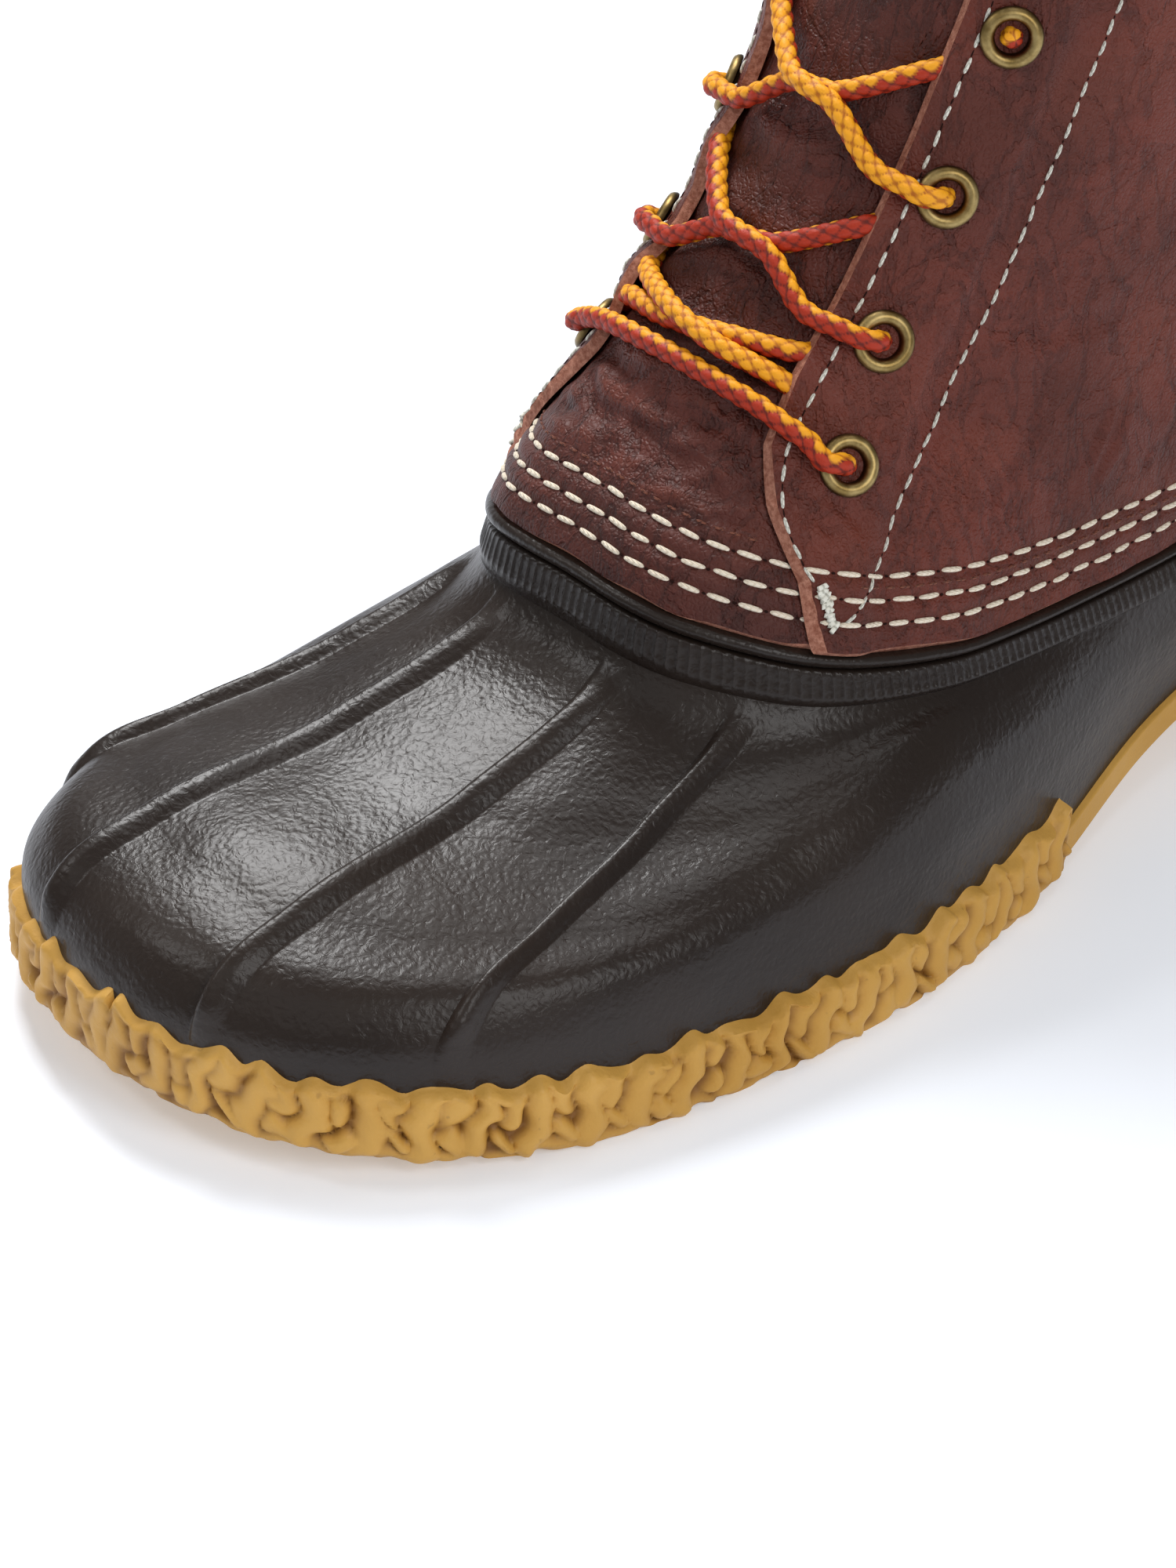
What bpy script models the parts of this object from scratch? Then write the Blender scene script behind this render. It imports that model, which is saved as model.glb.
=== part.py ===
"""A left duck boot: gum outsole, hollow rubber shell, leather quarters, tongue, insole, eyelets and lace.

Metres, +Z up. The toe points to -Y, the outer side of the foot to +X, and the origin is on the floor under the heel.
Every surface is read from one skin, which is a net of meridians: a turn in degrees picks the meridian, from 0 at
the toe to 180 at the heel, plus on the outer side and minus on the inner, and a level climbs it from the sole.
"""

import math

import bmesh
import bpy
import numpy as np
from mathutils import Matrix, Vector

# Overall sizes
LENGTH = 0.305
BALL_WIDTH = 0.118
BOOT_HEIGHT = 0.170
HEEL_SPOT = 0.245
HEEL_SWING = -0.0075
GAP = 0.0003

# Outsole
PLATE = 0.005
TOE_SPRING = 0.0078
SPRING_END = 0.075
ARCH_RISE = 0.0115
ARCH_START = 0.150
ARCH_END = 0.226
HEEL_TOP = 0.019
HEEL_BREAST = 0.237
BUMPER_HEIGHT = 0.0135
BUMPER_DEPTH = 0.0036
BUMPER_END = 0.172
LUMP_PITCH = 0.0095
LUMP_DEPTH = 0.0010
BAND_PROUD = 0.0008
GROOVE_DEPTH = 0.0025
GROOVE_WIDTH = 0.004
GROOVE_PITCH = 0.013
GROOVE_MARGIN = 0.011
FIRST_GROOVE = 0.034
GROOVE_SETBACK = 0.015

# Rubber shell
SHELL_WALL = 0.0024
BAND_HEIGHT = 0.058
BAND_STEP = 0.0016
LIP_STEP = 0.0011
LIP_SETBACK = 0.0025
RIDGE_HEIGHT = 0.0016
RIDGE_TURNS = (-38.0, -12.5, 12.5, 38.0)
RIDGE_HALF_TURN = 1.9
SHELL_PITCH = 0.012

# Leather
LEATHER = 0.0020
TONGUE_WALL = 0.0018
BACK_STRIP_STEP = 0.0008
BACK_STRIP_TURN = 9.0
GUSSET_TURN = 58.0

# Insole, eyelets and lace
INSOLE = 0.0035
INSOLE_PITCH = 0.013
EYELET_RADIUS = 0.0050
EYELET_BORE = 0.0026
EYELET_BARREL = 0.0034
EYELET_FLANGE = 0.0010
LACE = 0.0038

# Levels of the skin: 0 at the sole's plate, then
BAND_LEVEL = 5.0
LIP_LEVEL = 5.68
EDGE_LEVEL = 6.0
SHELL_TOP_LEVEL = 6.4
COLLAR_LEVEL = 10.0
TONGUE_TOP_LEVEL = 10.6

# Outline of the outsole: turn, centre and fullness as shares of BALL_WIDTH
SOLE_PLAN = (
    (0, 0.000, 0.840),
    (20, -0.027, 0.840),
    (35, -0.020, 0.745),
    (50, 0.010, 0.640),
    (65, 0.034, 0.555),
    (80, 0.047, 0.488),
    (95, 0.041, 0.405),
    (108, 0.005, 0.366),
    (118, -0.018, 0.376),
    (130, -0.041, 0.425),
    (145, -0.052, 0.520),
    (160, -0.058, 0.590),
    (180, -0.064, 0.620),
)

# The band's lower edge: turn, place as a share of LENGTH, centre and fullness as shares of BALL_WIDTH, height and
# the climb from there to the leather's edge as shares of BAND_HEIGHT, and turn on the round shaft above
BAND_LINE = (
    (0, 0.3213, 0.000, 0.542, 1.000, 0.155, 0.0),
    (12.5, 0.3223, 0.000, 0.542, 0.991, 0.155, 8.0),
    (25, 0.3328, 0.000, 0.475, 0.966, 0.155, 17.0),
    (37.5, 0.3574, 0.000, 0.449, 0.922, 0.150, 25.5),
    (50, 0.3852, 0.004, 0.419, 0.879, 0.143, 34.7),
    (62, 0.4164, 0.008, 0.394, 0.845, 0.133, 43.4),
    (75, 0.4590, 0.013, 0.373, 0.805, 0.124, 53.5),
    (90, 0.5082, 0.017, 0.356, 0.771, 0.112, 64.0),
    (100, 0.5738, 0.008, 0.354, 0.741, 0.107, 76.0),
    (110, 0.6656, -0.008, 0.360, 0.712, 0.110, 92.6),
    (130, 0.8098, -0.034, 0.390, 0.724, 0.112, 119.5),
    (150, 0.9213, -0.051, 0.490, 0.776, 0.121, 147.0),
    (180, 0.9820, -0.064, 0.590, 0.828, 0.121, 180.0),
)

# Four points of each meridian between the plate and the band: turn, share of the run and of the rise at each
# point, and the wall's bulge as a share of BALL_WIDTH
PROFILES = (
    (0, 0.00, 0.248, 0.04, 0.392, 0.22, 0.546, 0.62, 0.657, 0.000),
    (37.5, 0.00, 0.354, 0.06, 0.460, 0.28, 0.551, 0.66, 0.692, 0.000),
    (62, 0.00, 0.355, 0.08, 0.520, 0.32, 0.680, 0.66, 0.830, 0.008),
    (75, 0.02, 0.384, 0.12, 0.585, 0.36, 0.790, 0.68, 0.920, 0.014),
    (90, 0.05, 0.320, 0.18, 0.550, 0.42, 0.780, 0.72, 0.906, 0.020),
    (110, 0.10, 0.240, 0.30, 0.480, 0.55, 0.700, 0.80, 0.870, 0.016),
    (140, 0.10, 0.240, 0.30, 0.480, 0.55, 0.700, 0.80, 0.870, 0.018),
    (180, 0.10, 0.240, 0.30, 0.480, 0.55, 0.700, 0.80, 0.870, 0.026),
)
BULGE_AT_POINTS = (0.35, 0.85, 1.0, 0.6)

# Rings of the shaft: front and back as shares of LENGTH, half width as a share of BALL_WIDTH, height at the front,
# side and back as shares of BOOT_HEIGHT, and bluntness of the front
SHAFT = (
    (0.3967, 0.9720, 0.330, 0.538, 0.455, 0.465, 0.70),
    (0.4590, 0.9590, 0.318, 0.662, 0.615, 0.625, 0.78),
    (0.5115, 0.9560, 0.330, 0.818, 0.790, 0.800, 0.86),
    (0.5510, 0.9640, 0.360, 1.000, 0.965, 0.985, 0.90),
    (0.5640, 0.9690, 0.370, 1.100, 1.065, 1.085, 0.90),
)

# The quarters' front edge: level and turn
THROAT = (
    (6.0, 53.0),
    (6.3, 48.0),
    (6.6, 38.0),
    (6.9, 31.5),
    (7.3, 30.5),
    (8.0, 31.0),
    (9.0, 33.0),
    (10.0, 35.0),
    (11.0, 36.0),
)

# Eyelets of the outer side: level and turn; the inner side mirrors them
EYELETS = (
    (6.86, 50.0),
    (7.62, 46.0),
    (8.50, 46.0),
    (9.40, 47.0),
)


def column(table, index):
    return np.array([row[index] for row in table], float)


def smooth(stations, values, where, level_ends=True):
    """A smooth curve through the table's rows, level at both ends where the boot's two sides meet."""
    slopes = np.gradient(values, stations)
    if level_ends:
        slopes[0] = 0.0
        slopes[-1] = 0.0
    where = np.clip(np.asarray(where, float), stations[0], stations[-1])
    i = np.clip(np.searchsorted(stations, where) - 1, 0, len(stations) - 2)
    span = stations[i + 1] - stations[i]
    t = (where - stations[i]) / span
    rise = values[i + 1] - values[i]
    start = t * (1 - t) ** 2 * span * slopes[i]
    end = t * t * (t - 1) * span * slopes[i + 1]
    return values[i] + t * t * (3 - 2 * t) * rise + start + end


def read(table, index, where, level_ends=True):
    return smooth(column(table, 0), column(table, index), where, level_ends)


def ramp(value, start, end):
    """0 before start, 1 after end, and a soft climb between."""
    t = np.clip((np.asarray(value, float) - start) / (end - start), 0, 1)
    return t * t * (3 - 2 * t)


def plan_point(turn, along, centre, fullness):
    """A point of a plan outline: x across and distance behind the toe tip."""
    side = np.sin(np.radians(turn))
    return np.stack([centre + fullness * side, along], -1)


def outline(turn):
    size = np.abs(turn)
    centre = read(SOLE_PLAN, 1, size) * BALL_WIDTH
    fullness = read(SOLE_PLAN, 2, size) * BALL_WIDTH
    along = LENGTH * (1 - np.cos(np.radians(turn))) / 2
    return plan_point(turn, along, centre, fullness)


def wrapped(turn):
    return (np.asarray(turn, float) + 180) % 360 - 180


def outward(curve, turn, step=0.5):
    """The outward direction of a plan curve, at right angles to it."""
    along = curve(wrapped(turn + step)) - curve(wrapped(turn - step))
    across = np.stack([along[..., 1], -along[..., 0]], -1)
    return across / np.linalg.norm(across, axis=-1, keepdims=True)


def inset_outline(turn, distance):
    return outline(turn) - outward(outline, turn) * np.asarray(distance)[..., None]


def turn_at(along):
    """The turn at which the outsole's outline is this far behind the toe tip."""
    return math.degrees(math.acos(1 - 2 * along / LENGTH))


def spring(along):
    return TOE_SPRING * np.clip(1 - along / SPRING_END, 0, 1) ** 2


def plate_top(along):
    arch = ARCH_RISE * ramp(along, ARCH_START, ARCH_END)
    heel = (HEEL_TOP - ARCH_RISE - PLATE) * ramp(along, ARCH_END, LENGTH)
    return PLATE + spring(along) + arch + heel


def plate_bottom(along):
    arch = ARCH_RISE * ramp(along, ARCH_START, ARCH_END)
    return spring(along) + np.where(along < HEEL_BREAST, arch, 0.0)


def to_space(plan, height):
    return np.stack([plan[..., 0], plan[..., 1] - HEEL_SPOT, height], -1)


def band_plan(turn):
    size = np.abs(turn)
    centre = read(BAND_LINE, 2, size) * BALL_WIDTH
    fullness = read(BAND_LINE, 3, size) * BALL_WIDTH
    return plan_point(turn, read(BAND_LINE, 1, size) * LENGTH, centre, fullness)


def shaft_point(turn, ring):
    front, back, half, front_height, side_height, back_height, blunt = ring
    size = np.abs(turn)
    angle = np.radians(read(BAND_LINE, 6, size, False))
    share = (1 - np.cos(angle)) / 2
    along = LENGTH * (front + (back - front) * share)
    power = blunt + (1 - blunt) * share
    across = half * BALL_WIDTH * np.sign(turn) * np.abs(np.sin(angle)) ** power
    side = np.sin(angle) ** 2
    ends = front_height + (back_height - front_height) * share
    height = BOOT_HEIGHT * (ends + (side_height - (front_height + back_height) / 2) * side)
    return to_space(np.stack([across + HEEL_SWING * share, along], -1), height)


def skeleton(turn):
    """The points that each meridian runs through, from the sole's plate to above the collar."""
    size = np.abs(turn)
    foot_plan = inset_outline(turn, np.full(turn.shape, BUMPER_DEPTH + GAP))
    foot = to_space(foot_plan, plate_top(foot_plan[..., 1]) + GAP)
    band = to_space(band_plan(turn), read(BAND_LINE, 4, size) * BAND_HEIGHT)
    away = outward(band_plan, turn)
    points = [foot]
    for number, swell in enumerate(BULGE_AT_POINTS):
        run = read(PROFILES, 1 + 2 * number, size)[..., None]
        rise = read(PROFILES, 2 + 2 * number, size)[..., None]
        share = np.concatenate([run, run, rise], -1)
        point = foot + (band - foot) * share
        bulge = read(PROFILES, 9, size) * BALL_WIDTH * swell
        point[..., :2] += outward(outline, turn) * bulge[..., None]
        points.append(point)
    points.append(band)
    edge = band.copy()
    edge[..., :2] -= away * LIP_SETBACK
    edge[..., 2] += read(BAND_LINE, 5, size) * BAND_HEIGHT
    points.append(edge)
    points.extend(shaft_point(turn, ring) for ring in SHAFT)
    return np.stack(points)


def skin(turn, level):
    """The skin's point on each meridian at each level."""
    turn, level = np.broadcast_arrays(np.asarray(turn, float), np.asarray(level, float))
    points = skeleton(wrapped(turn))
    chords = np.linalg.norm(np.diff(points, axis=0), axis=-1)[..., None]
    lines = np.diff(points, axis=0) / chords
    slopes = np.empty_like(points)
    slopes[1:-1] = (lines[:-1] * chords[1:] + lines[1:] * chords[:-1]) / (chords[1:] + chords[:-1])
    slopes[0] = lines[0]
    slopes[-1] = lines[-1]
    i = np.clip(np.floor(level).astype(int), 0, len(points) - 2)
    t = (level - i)[..., None]
    here = tuple(np.indices(turn.shape))
    below = points[(i, *here)]
    above = points[(i + 1, *here)]
    span = chords[(i, *here)]
    start = t * (1 - t) ** 2 * span * slopes[(i, *here)]
    end = t * t * (t - 1) * span * slopes[(i + 1, *here)]
    return below + t * t * (3 - 2 * t) * (above - below) + start + end


def normals(turn, level, turn_step=0.6, level_step=0.04):
    """The outward directions at right angles to the skin."""
    across = skin(turn + turn_step, level) - skin(turn - turn_step, level)
    top = len(SHAFT) + EDGE_LEVEL
    upper = np.minimum(level + level_step, top)
    lower = np.maximum(level - level_step, 0.0)
    up = skin(turn, upper) - skin(turn, lower)
    facing = np.cross(across, up)
    return facing / np.linalg.norm(facing, axis=-1, keepdims=True)


def offset_skin(turn, level, distance):
    turn, level = np.broadcast_arrays(np.asarray(turn, float), np.asarray(level, float))
    distance = np.broadcast_to(np.asarray(distance, float), turn.shape)
    return skin(turn, level) + normals(turn, level) * distance[..., None]


def even_turns(pitch):
    """Turns of the outline's outer half from toe to heel, about pitch apart along its edge."""
    fine = np.linspace(0, 180, 1441)
    steps = np.linalg.norm(np.diff(outline(fine), axis=0), axis=-1)
    walked = np.concatenate([[0.0], np.cumsum(steps)])
    pairs = round(walked[-1] / pitch / 2)
    return np.interp(np.linspace(0, walked[-1], 2 * pairs + 1), walked, fine)


def throat(level):
    return np.interp(level, column(THROAT, 0), column(THROAT, 1))


def ridge_relief(turn, level):
    """The height of the toe's ridges above the skin."""
    away = np.min([np.abs(wrapped(turn - ridge)) for ridge in RIDGE_TURNS], axis=0)
    crest = np.cos(np.clip(away / RIDGE_HALF_TURN, 0, 1) * math.pi / 2) ** 2
    return RIDGE_HEIGHT * crest * ramp(level, 0.9, 1.7) * (1 - ramp(level, 4.4, 4.95))


def tongue_lift(turn):
    """How far the quarter is lifted where the tongue's edge lies under it."""
    past = np.abs(wrapped(turn)) - GUSSET_TURN
    return (TONGUE_WALL + 2 * GAP) * (1 - ramp(past, 1.0, 7.0))


def strip_step(turn):
    """The step of the back strip in the quarters' wall."""
    from_back = 180 - np.abs(wrapped(turn))
    return BACK_STRIP_STEP * (1 - ramp(from_back, BACK_STRIP_TURN - 1.5, BACK_STRIP_TURN))


def quarter_inside(turn):
    return GAP + tongue_lift(turn)


def quarter_outside(turn):
    return quarter_inside(turn) + LEATHER + strip_step(turn)


# Objects from nets of points


def net_faces(rows, columns, first, closed):
    """Four-cornered faces of a net of points whose numbers start at first."""
    faces = []
    for row in range(rows - 1):
        for k in range(columns if closed else columns - 1):
            after = (k + 1) % columns
            low = first + row * columns
            high = low + columns
            faces.append((low + k, low + after, high + after, high + k))
    return faces


def new_object(name, points, faces, material, collection):
    mesh = bpy.data.meshes.new(name)
    mesh.from_pydata([tuple(map(float, point)) for point in points], [], faces)
    work = bmesh.new()
    work.from_mesh(mesh)
    bmesh.ops.recalc_face_normals(work, faces=work.faces)
    work.to_mesh(mesh)
    work.free()
    mesh.shade_smooth()
    mesh.set_sharp_from_angle(angle=math.radians(40))
    mesh.materials.append(material)
    thing = bpy.data.objects.new(name, mesh)
    collection.objects.link(thing)
    return thing


def wall_object(name, outer, inner, closed, material, collection):
    """A wall between two nets with the same columns, closed along every edge. An open wall's nets have the same
    rows too."""
    columns = outer.shape[1]
    start = outer.shape[0] * columns
    last_outer = start - columns
    last_inner = start + (inner.shape[0] - 1) * columns
    faces = net_faces(outer.shape[0], columns, 0, closed)
    faces += [face[::-1] for face in net_faces(inner.shape[0], columns, start, closed)]
    for k in range(columns if closed else columns - 1):
        after = (k + 1) % columns
        faces.append((after, k, start + k, start + after))
        faces.append((last_outer + k, last_outer + after, last_inner + after, last_inner + k))
    if not closed:
        for edge in (0, columns - 1):
            for row in range(outer.shape[0] - 1):
                low = row * columns + edge
                high = low + columns
                faces.append((low, high, start + high, start + low))
    points = np.concatenate([outer.reshape(-1, 3), inner.reshape(-1, 3)])
    return new_object(name, points, faces, material, collection)


def slab_object(name, rings, material, collection):
    """A closed body from rings that start with a flat underside and end with a flat top. Column k and its mirror
    image lie across from each other, so both flats are ladders of faces."""
    columns = rings.shape[1]
    faces = net_faces(len(rings), columns, 0, True)
    half = columns // 2
    for base in (0, (len(rings) - 1) * columns):
        for k in range(half):
            left = (columns - k) % columns
            corners = [base + k, base + k + 1, base + (columns - k - 1), base + left]
            faces.append(list(dict.fromkeys(corners)))
    return new_object(name, rings.reshape(-1, 3), faces, material, collection)


def mirrored_turns(half):
    """A closed set of turns from those of the outer half, with its mirror image behind it."""
    return np.concatenate([half, -half[-2:0:-1]])


# The pieces


def build_outsole(material, collection, cutters):
    turns = mirrored_turns(even_turns(LUMP_PITCH / 2))
    along = outline(turns)[:, 1]
    lumpy = (along < BUMPER_END) | (along > HEEL_BREAST)
    wave = np.where(np.arange(len(turns)) % 2 == 0, 1.0, 0.0) * lumpy
    proud = np.where(lumpy, 0.0, BUMPER_DEPTH - BAND_PROUD)
    rounding = np.where(lumpy, LUMP_DEPTH, BAND_PROUD / 3)
    under = plate_bottom(along)
    rise = np.where(along > HEEL_BREAST, plate_top(along) + PLATE, under + BUMPER_HEIGHT + LUMP_DEPTH * wave)
    rim = np.where(lumpy, rise, plate_top(along) + LIP_STEP)

    steps = np.linspace(0, 2.5, 26)
    climb = np.stack([skin(turns, step)[:, 2] for step in steps])
    rim_level = np.array([np.interp(rim[k], climb[:, k], steps) for k in range(len(turns))])
    seat = offset_skin(turns, rim_level, 2 * GAP)
    out = seat[:, :2] + [0, HEEL_SPOT] - outline(turns)
    most = -np.sum(out * outward(outline, turns), axis=-1) - BAND_PROUD

    def ring(inset, height):
        return to_space(inset_outline(turns, np.minimum(inset, most)), height)

    rings = [
        ring(proud + rounding, under),
        ring(proud + rounding * (1 - wave), under + (rim - under) * 0.2),
        ring(proud + rounding * wave, under + (rim - under) * 0.5),
        ring(proud + rounding * (1 - wave), under + (rim - under) * 0.8),
        ring(proud + rounding * 1.4, rim),
        seat,
        offset_skin(turns, 0.0, 2 * GAP) - [0, 0, GAP],
    ]
    sole = slab_object("outsole", np.stack(rings), material, collection)
    for number, place in enumerate(groove_places()):
        add_groove(number, place, cutters)
    cut = sole.modifiers.new("tread grooves", "BOOLEAN")
    cut.operand_type = "COLLECTION"
    cut.collection = cutters
    return sole


def groove_places():
    """How far behind the toe tip each cross groove of the tread lies."""
    places = []
    for start, end in ((FIRST_GROOVE, BUMPER_END), (HEEL_BREAST + GROOVE_SETBACK, LENGTH)):
        count = int((end - GROOVE_SETBACK - start) / GROOVE_PITCH + 0.01) + 1
        places += [start + k * GROOVE_PITCH for k in range(count)]
    return places


def add_groove(number, place, cutters):
    turn = turn_at(place)
    outer = outline(np.array([turn, -turn]))[:, 0]
    width = outer[0] - outer[1] - 2 * GROOVE_MARGIN
    floor = float(plate_bottom(np.array(place)))
    bpy.ops.mesh.primitive_cube_add(size=1)
    cutter = bpy.context.object
    cutter.name = f"groove_{number}"
    cutter.data.transform(Matrix.Diagonal((width, GROOVE_WIDTH, 2 * GROOVE_DEPTH, 1)))
    cutter.location = ((outer[0] + outer[1]) / 2, place - HEEL_SPOT, floor)
    move_to(cutter, cutters)
    return cutter


def build_shell(material, collection):
    base = even_turns(SHELL_PITCH)
    base = base[[min(abs(turn - abs(ridge)) for ridge in RIDGE_TURNS) > 1.6 * RIDGE_HALF_TURN for turn in base]]
    flanks = [abs(ridge) + step for ridge in RIDGE_TURNS[2:] for step in (-RIDGE_HALF_TURN, 0, RIDGE_HALF_TURN)]
    turns = mirrored_turns(np.sort(np.concatenate([base, flanks])))
    outside = (
        (0.0, 0), (0.6, 0), (1.2, 0), (1.8, 0), (2.4, 0), (3.0, 0), (3.5, 0), (4.0, 0), (4.5, 0),
        (BAND_LEVEL - 0.05, 0), (BAND_LEVEL + 0.03, BAND_STEP), (LIP_LEVEL - 0.08, BAND_STEP),
        (LIP_LEVEL, LIP_STEP / 3), ((LIP_LEVEL + EDGE_LEVEL) / 2, LIP_STEP), (EDGE_LEVEL - 0.02, 0),
        (EDGE_LEVEL + 0.02, -2 * GAP), (SHELL_TOP_LEVEL, -2 * GAP),
    )
    inside = (0.0, 1.0, 2.0, 2.7, 3.4, 4.2, 5.0, 5.7, SHELL_TOP_LEVEL)
    outer = np.stack([offset_skin(turns, level, step + ridge_relief(turns, level)) for level, step in outside])
    inner = np.stack([offset_skin(turns, level, -SHELL_WALL) for level in inside])
    return wall_object("rubber_shell", outer, inner, True, material, collection)


def quarter_turns(level):
    """The quarters' columns at one level, from the outer throat edge round the heel to the inner one."""
    front = throat(level)
    strip = 180 - BACK_STRIP_TURN
    near = [*np.linspace(front, GUSSET_TURN, 5), GUSSET_TURN + 1.0, GUSSET_TURN + 4.0]
    side = np.linspace(GUSSET_TURN + 7.0, strip, 15)
    half = np.concatenate([near, side, [strip + 1.5, 180.0]])
    return np.concatenate([half, 360 - half[-2::-1]])


def quarter_net(levels, distance):
    rows = []
    for level in levels:
        turns = quarter_turns(level)
        rows.append(offset_skin(turns, level, distance(turns)))
    return np.stack(rows)


def build_quarters(material, collection, cutters):
    low = EDGE_LEVEL + 0.05
    levels = (low, 6.25, 6.5, 6.8, 7.2, 7.6, 8.2, 8.8, 9.4, COLLAR_LEVEL)
    outer = quarter_net(levels, quarter_outside)
    inner = quarter_net(levels, quarter_inside)
    quarters = wall_object("leather_quarters", outer, inner, False, material, collection)
    for side in (1, -1):
        for number, place in enumerate(EYELETS):
            add_eyelet_hole(f"hole_{side}_{number}", side, place, cutters)
    cut = quarters.modifiers.new("eyelet holes", "BOOLEAN")
    cut.operand_type = "COLLECTION"
    cut.collection = cutters
    return quarters


def eyelet_matrix(side, place):
    """The eyelet's seat on the quarter's outside: its centre, with +Z pointing out."""
    level, turn = place
    centre = offset_skin(side * turn, level, quarter_outside(turn))
    facing = Vector(normals(side * turn, np.array(level)))
    seat = facing.to_track_quat("Z", "Y").to_matrix().to_4x4()
    seat.translation = Vector(centre)
    return seat


def add_eyelet_hole(name, side, place, cutters):
    bpy.ops.mesh.primitive_cylinder_add(vertices=12, radius=EYELET_BARREL + GAP, depth=4 * LEATHER)
    cutter = bpy.context.object
    cutter.name = name
    cutter.matrix_world = eyelet_matrix(side, place)
    move_to(cutter, cutters)
    return cutter


def build_eyelet(name, side, place, material, collection):
    seat = 2 * GAP
    profile = (
        (EYELET_BORE, seat + EYELET_FLANGE * 0.6),
        (EYELET_RADIUS * 0.76, seat + EYELET_FLANGE),
        (EYELET_RADIUS, seat + EYELET_FLANGE * 0.35),
        (EYELET_RADIUS, seat),
        (EYELET_BARREL, seat),
        (EYELET_BARREL, -LEATHER),
        (EYELET_BORE, -LEATHER),
    )
    mesh = bpy.data.meshes.new(name)
    edges = [(k, (k + 1) % len(profile)) for k in range(len(profile))]
    mesh.from_pydata([(radius, 0, height) for radius, height in profile], edges, [])
    mesh.materials.append(material)
    eyelet = bpy.data.objects.new(name, mesh)
    collection.objects.link(eyelet)
    turned = eyelet.modifiers.new("turned", "SCREW")
    turned.steps = 12
    turned.render_steps = 12
    turned.use_merge_vertices = True
    turned.merge_threshold = 0.00005
    eyelet.matrix_world = eyelet_matrix(side, place)
    return eyelet


def build_tongue(material, collection):
    low = EDGE_LEVEL + 0.05

    def net(levels, distance):
        rows = []
        for level in levels:
            reach = GUSSET_TURN * (1 - 0.5 * ramp(level, COLLAR_LEVEL, TONGUE_TOP_LEVEL))
            rows.append(offset_skin(np.linspace(-reach, reach, 19), level, distance))
        return np.stack(rows)

    levels = (low, 6.3, 6.6, 6.9, 7.3, 7.7, 8.2, 8.8, 9.4, 10.0, 10.35, TONGUE_TOP_LEVEL)
    return wall_object("tongue", net(levels, GAP + TONGUE_WALL), net(levels, GAP), False, material, collection)


def build_insole(material, collection):
    turns = mirrored_turns(even_turns(INSOLE_PITCH))
    clear = BUMPER_DEPTH + 3 * GAP + SHELL_WALL
    edge = inset_outline(turns, np.full(turns.shape, clear))
    crest = inset_outline(turns, np.full(turns.shape, clear + INSOLE / 4))
    floor = plate_top(edge[:, 1]) + GAP
    rings = [
        to_space(edge, floor),
        to_space(edge, floor + INSOLE * 0.75),
        to_space(crest, floor + INSOLE),
    ]
    return slab_object("insole", np.stack(rings), material, collection)


def tube(name, points, material, collection):
    """A lace run: a smooth round tube through its points, as a closed mesh."""
    curve = bpy.data.curves.new(name, "CURVE")
    curve.dimensions = "3D"
    curve.bevel_depth = LACE / 2
    curve.bevel_resolution = 2
    curve.use_fill_caps = True
    spline = curve.splines.new("POLY")
    spline.points.add(len(points) - 1)
    for target, point in zip(spline.points, points):
        target.co = (*map(float, point), 1)
    rope = bpy.data.objects.new(name + "_line", curve)
    bpy.context.scene.collection.objects.link(rope)
    bpy.context.view_layer.update()
    graph = bpy.context.evaluated_depsgraph_get()
    mesh = bpy.data.meshes.new_from_object(rope.evaluated_get(graph))
    bpy.data.objects.remove(rope)
    work = bmesh.new()
    work.from_mesh(mesh)
    bmesh.ops.remove_doubles(work, verts=work.verts, dist=0.00001)
    bmesh.ops.recalc_face_normals(work, faces=work.faces)
    work.to_mesh(mesh)
    work.free()
    mesh.materials.clear()
    mesh.materials.append(material)
    thing = bpy.data.objects.new(name, mesh)
    collection.objects.link(thing)
    return thing


def over_quarter():
    """The lace's height above the skin where it lies on the quarters."""
    return 2 * GAP + TONGUE_WALL + LEATHER + 2 * GAP + LACE / 2


def over_tongue():
    return GAP + TONGUE_WALL + 2 * GAP + LACE / 2


def over_eyelet():
    return over_quarter() + 4 * GAP + EYELET_FLANGE


def lace_run(start, end, heights, count=9):
    """Points of a lace run from one place to another, each a level and a turn, at heights above the skin."""
    share = np.linspace(0, 1, count)
    level = start[0] + (end[0] - start[0]) * share
    turn = start[1] + (end[1] - start[1]) * share
    height = np.interp(share, np.linspace(0, 1, len(heights)), heights)
    return offset_skin(turn, level, height)


def build_lace_bar(material, collection):
    level, turn = EYELETS[0]
    heights = (over_eyelet(), over_quarter(), over_quarter(), over_quarter(), over_eyelet())
    points = lace_run((level, turn), (level, -turn), heights, 13)
    return tube("lace_bar", points, material, collection)


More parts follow.
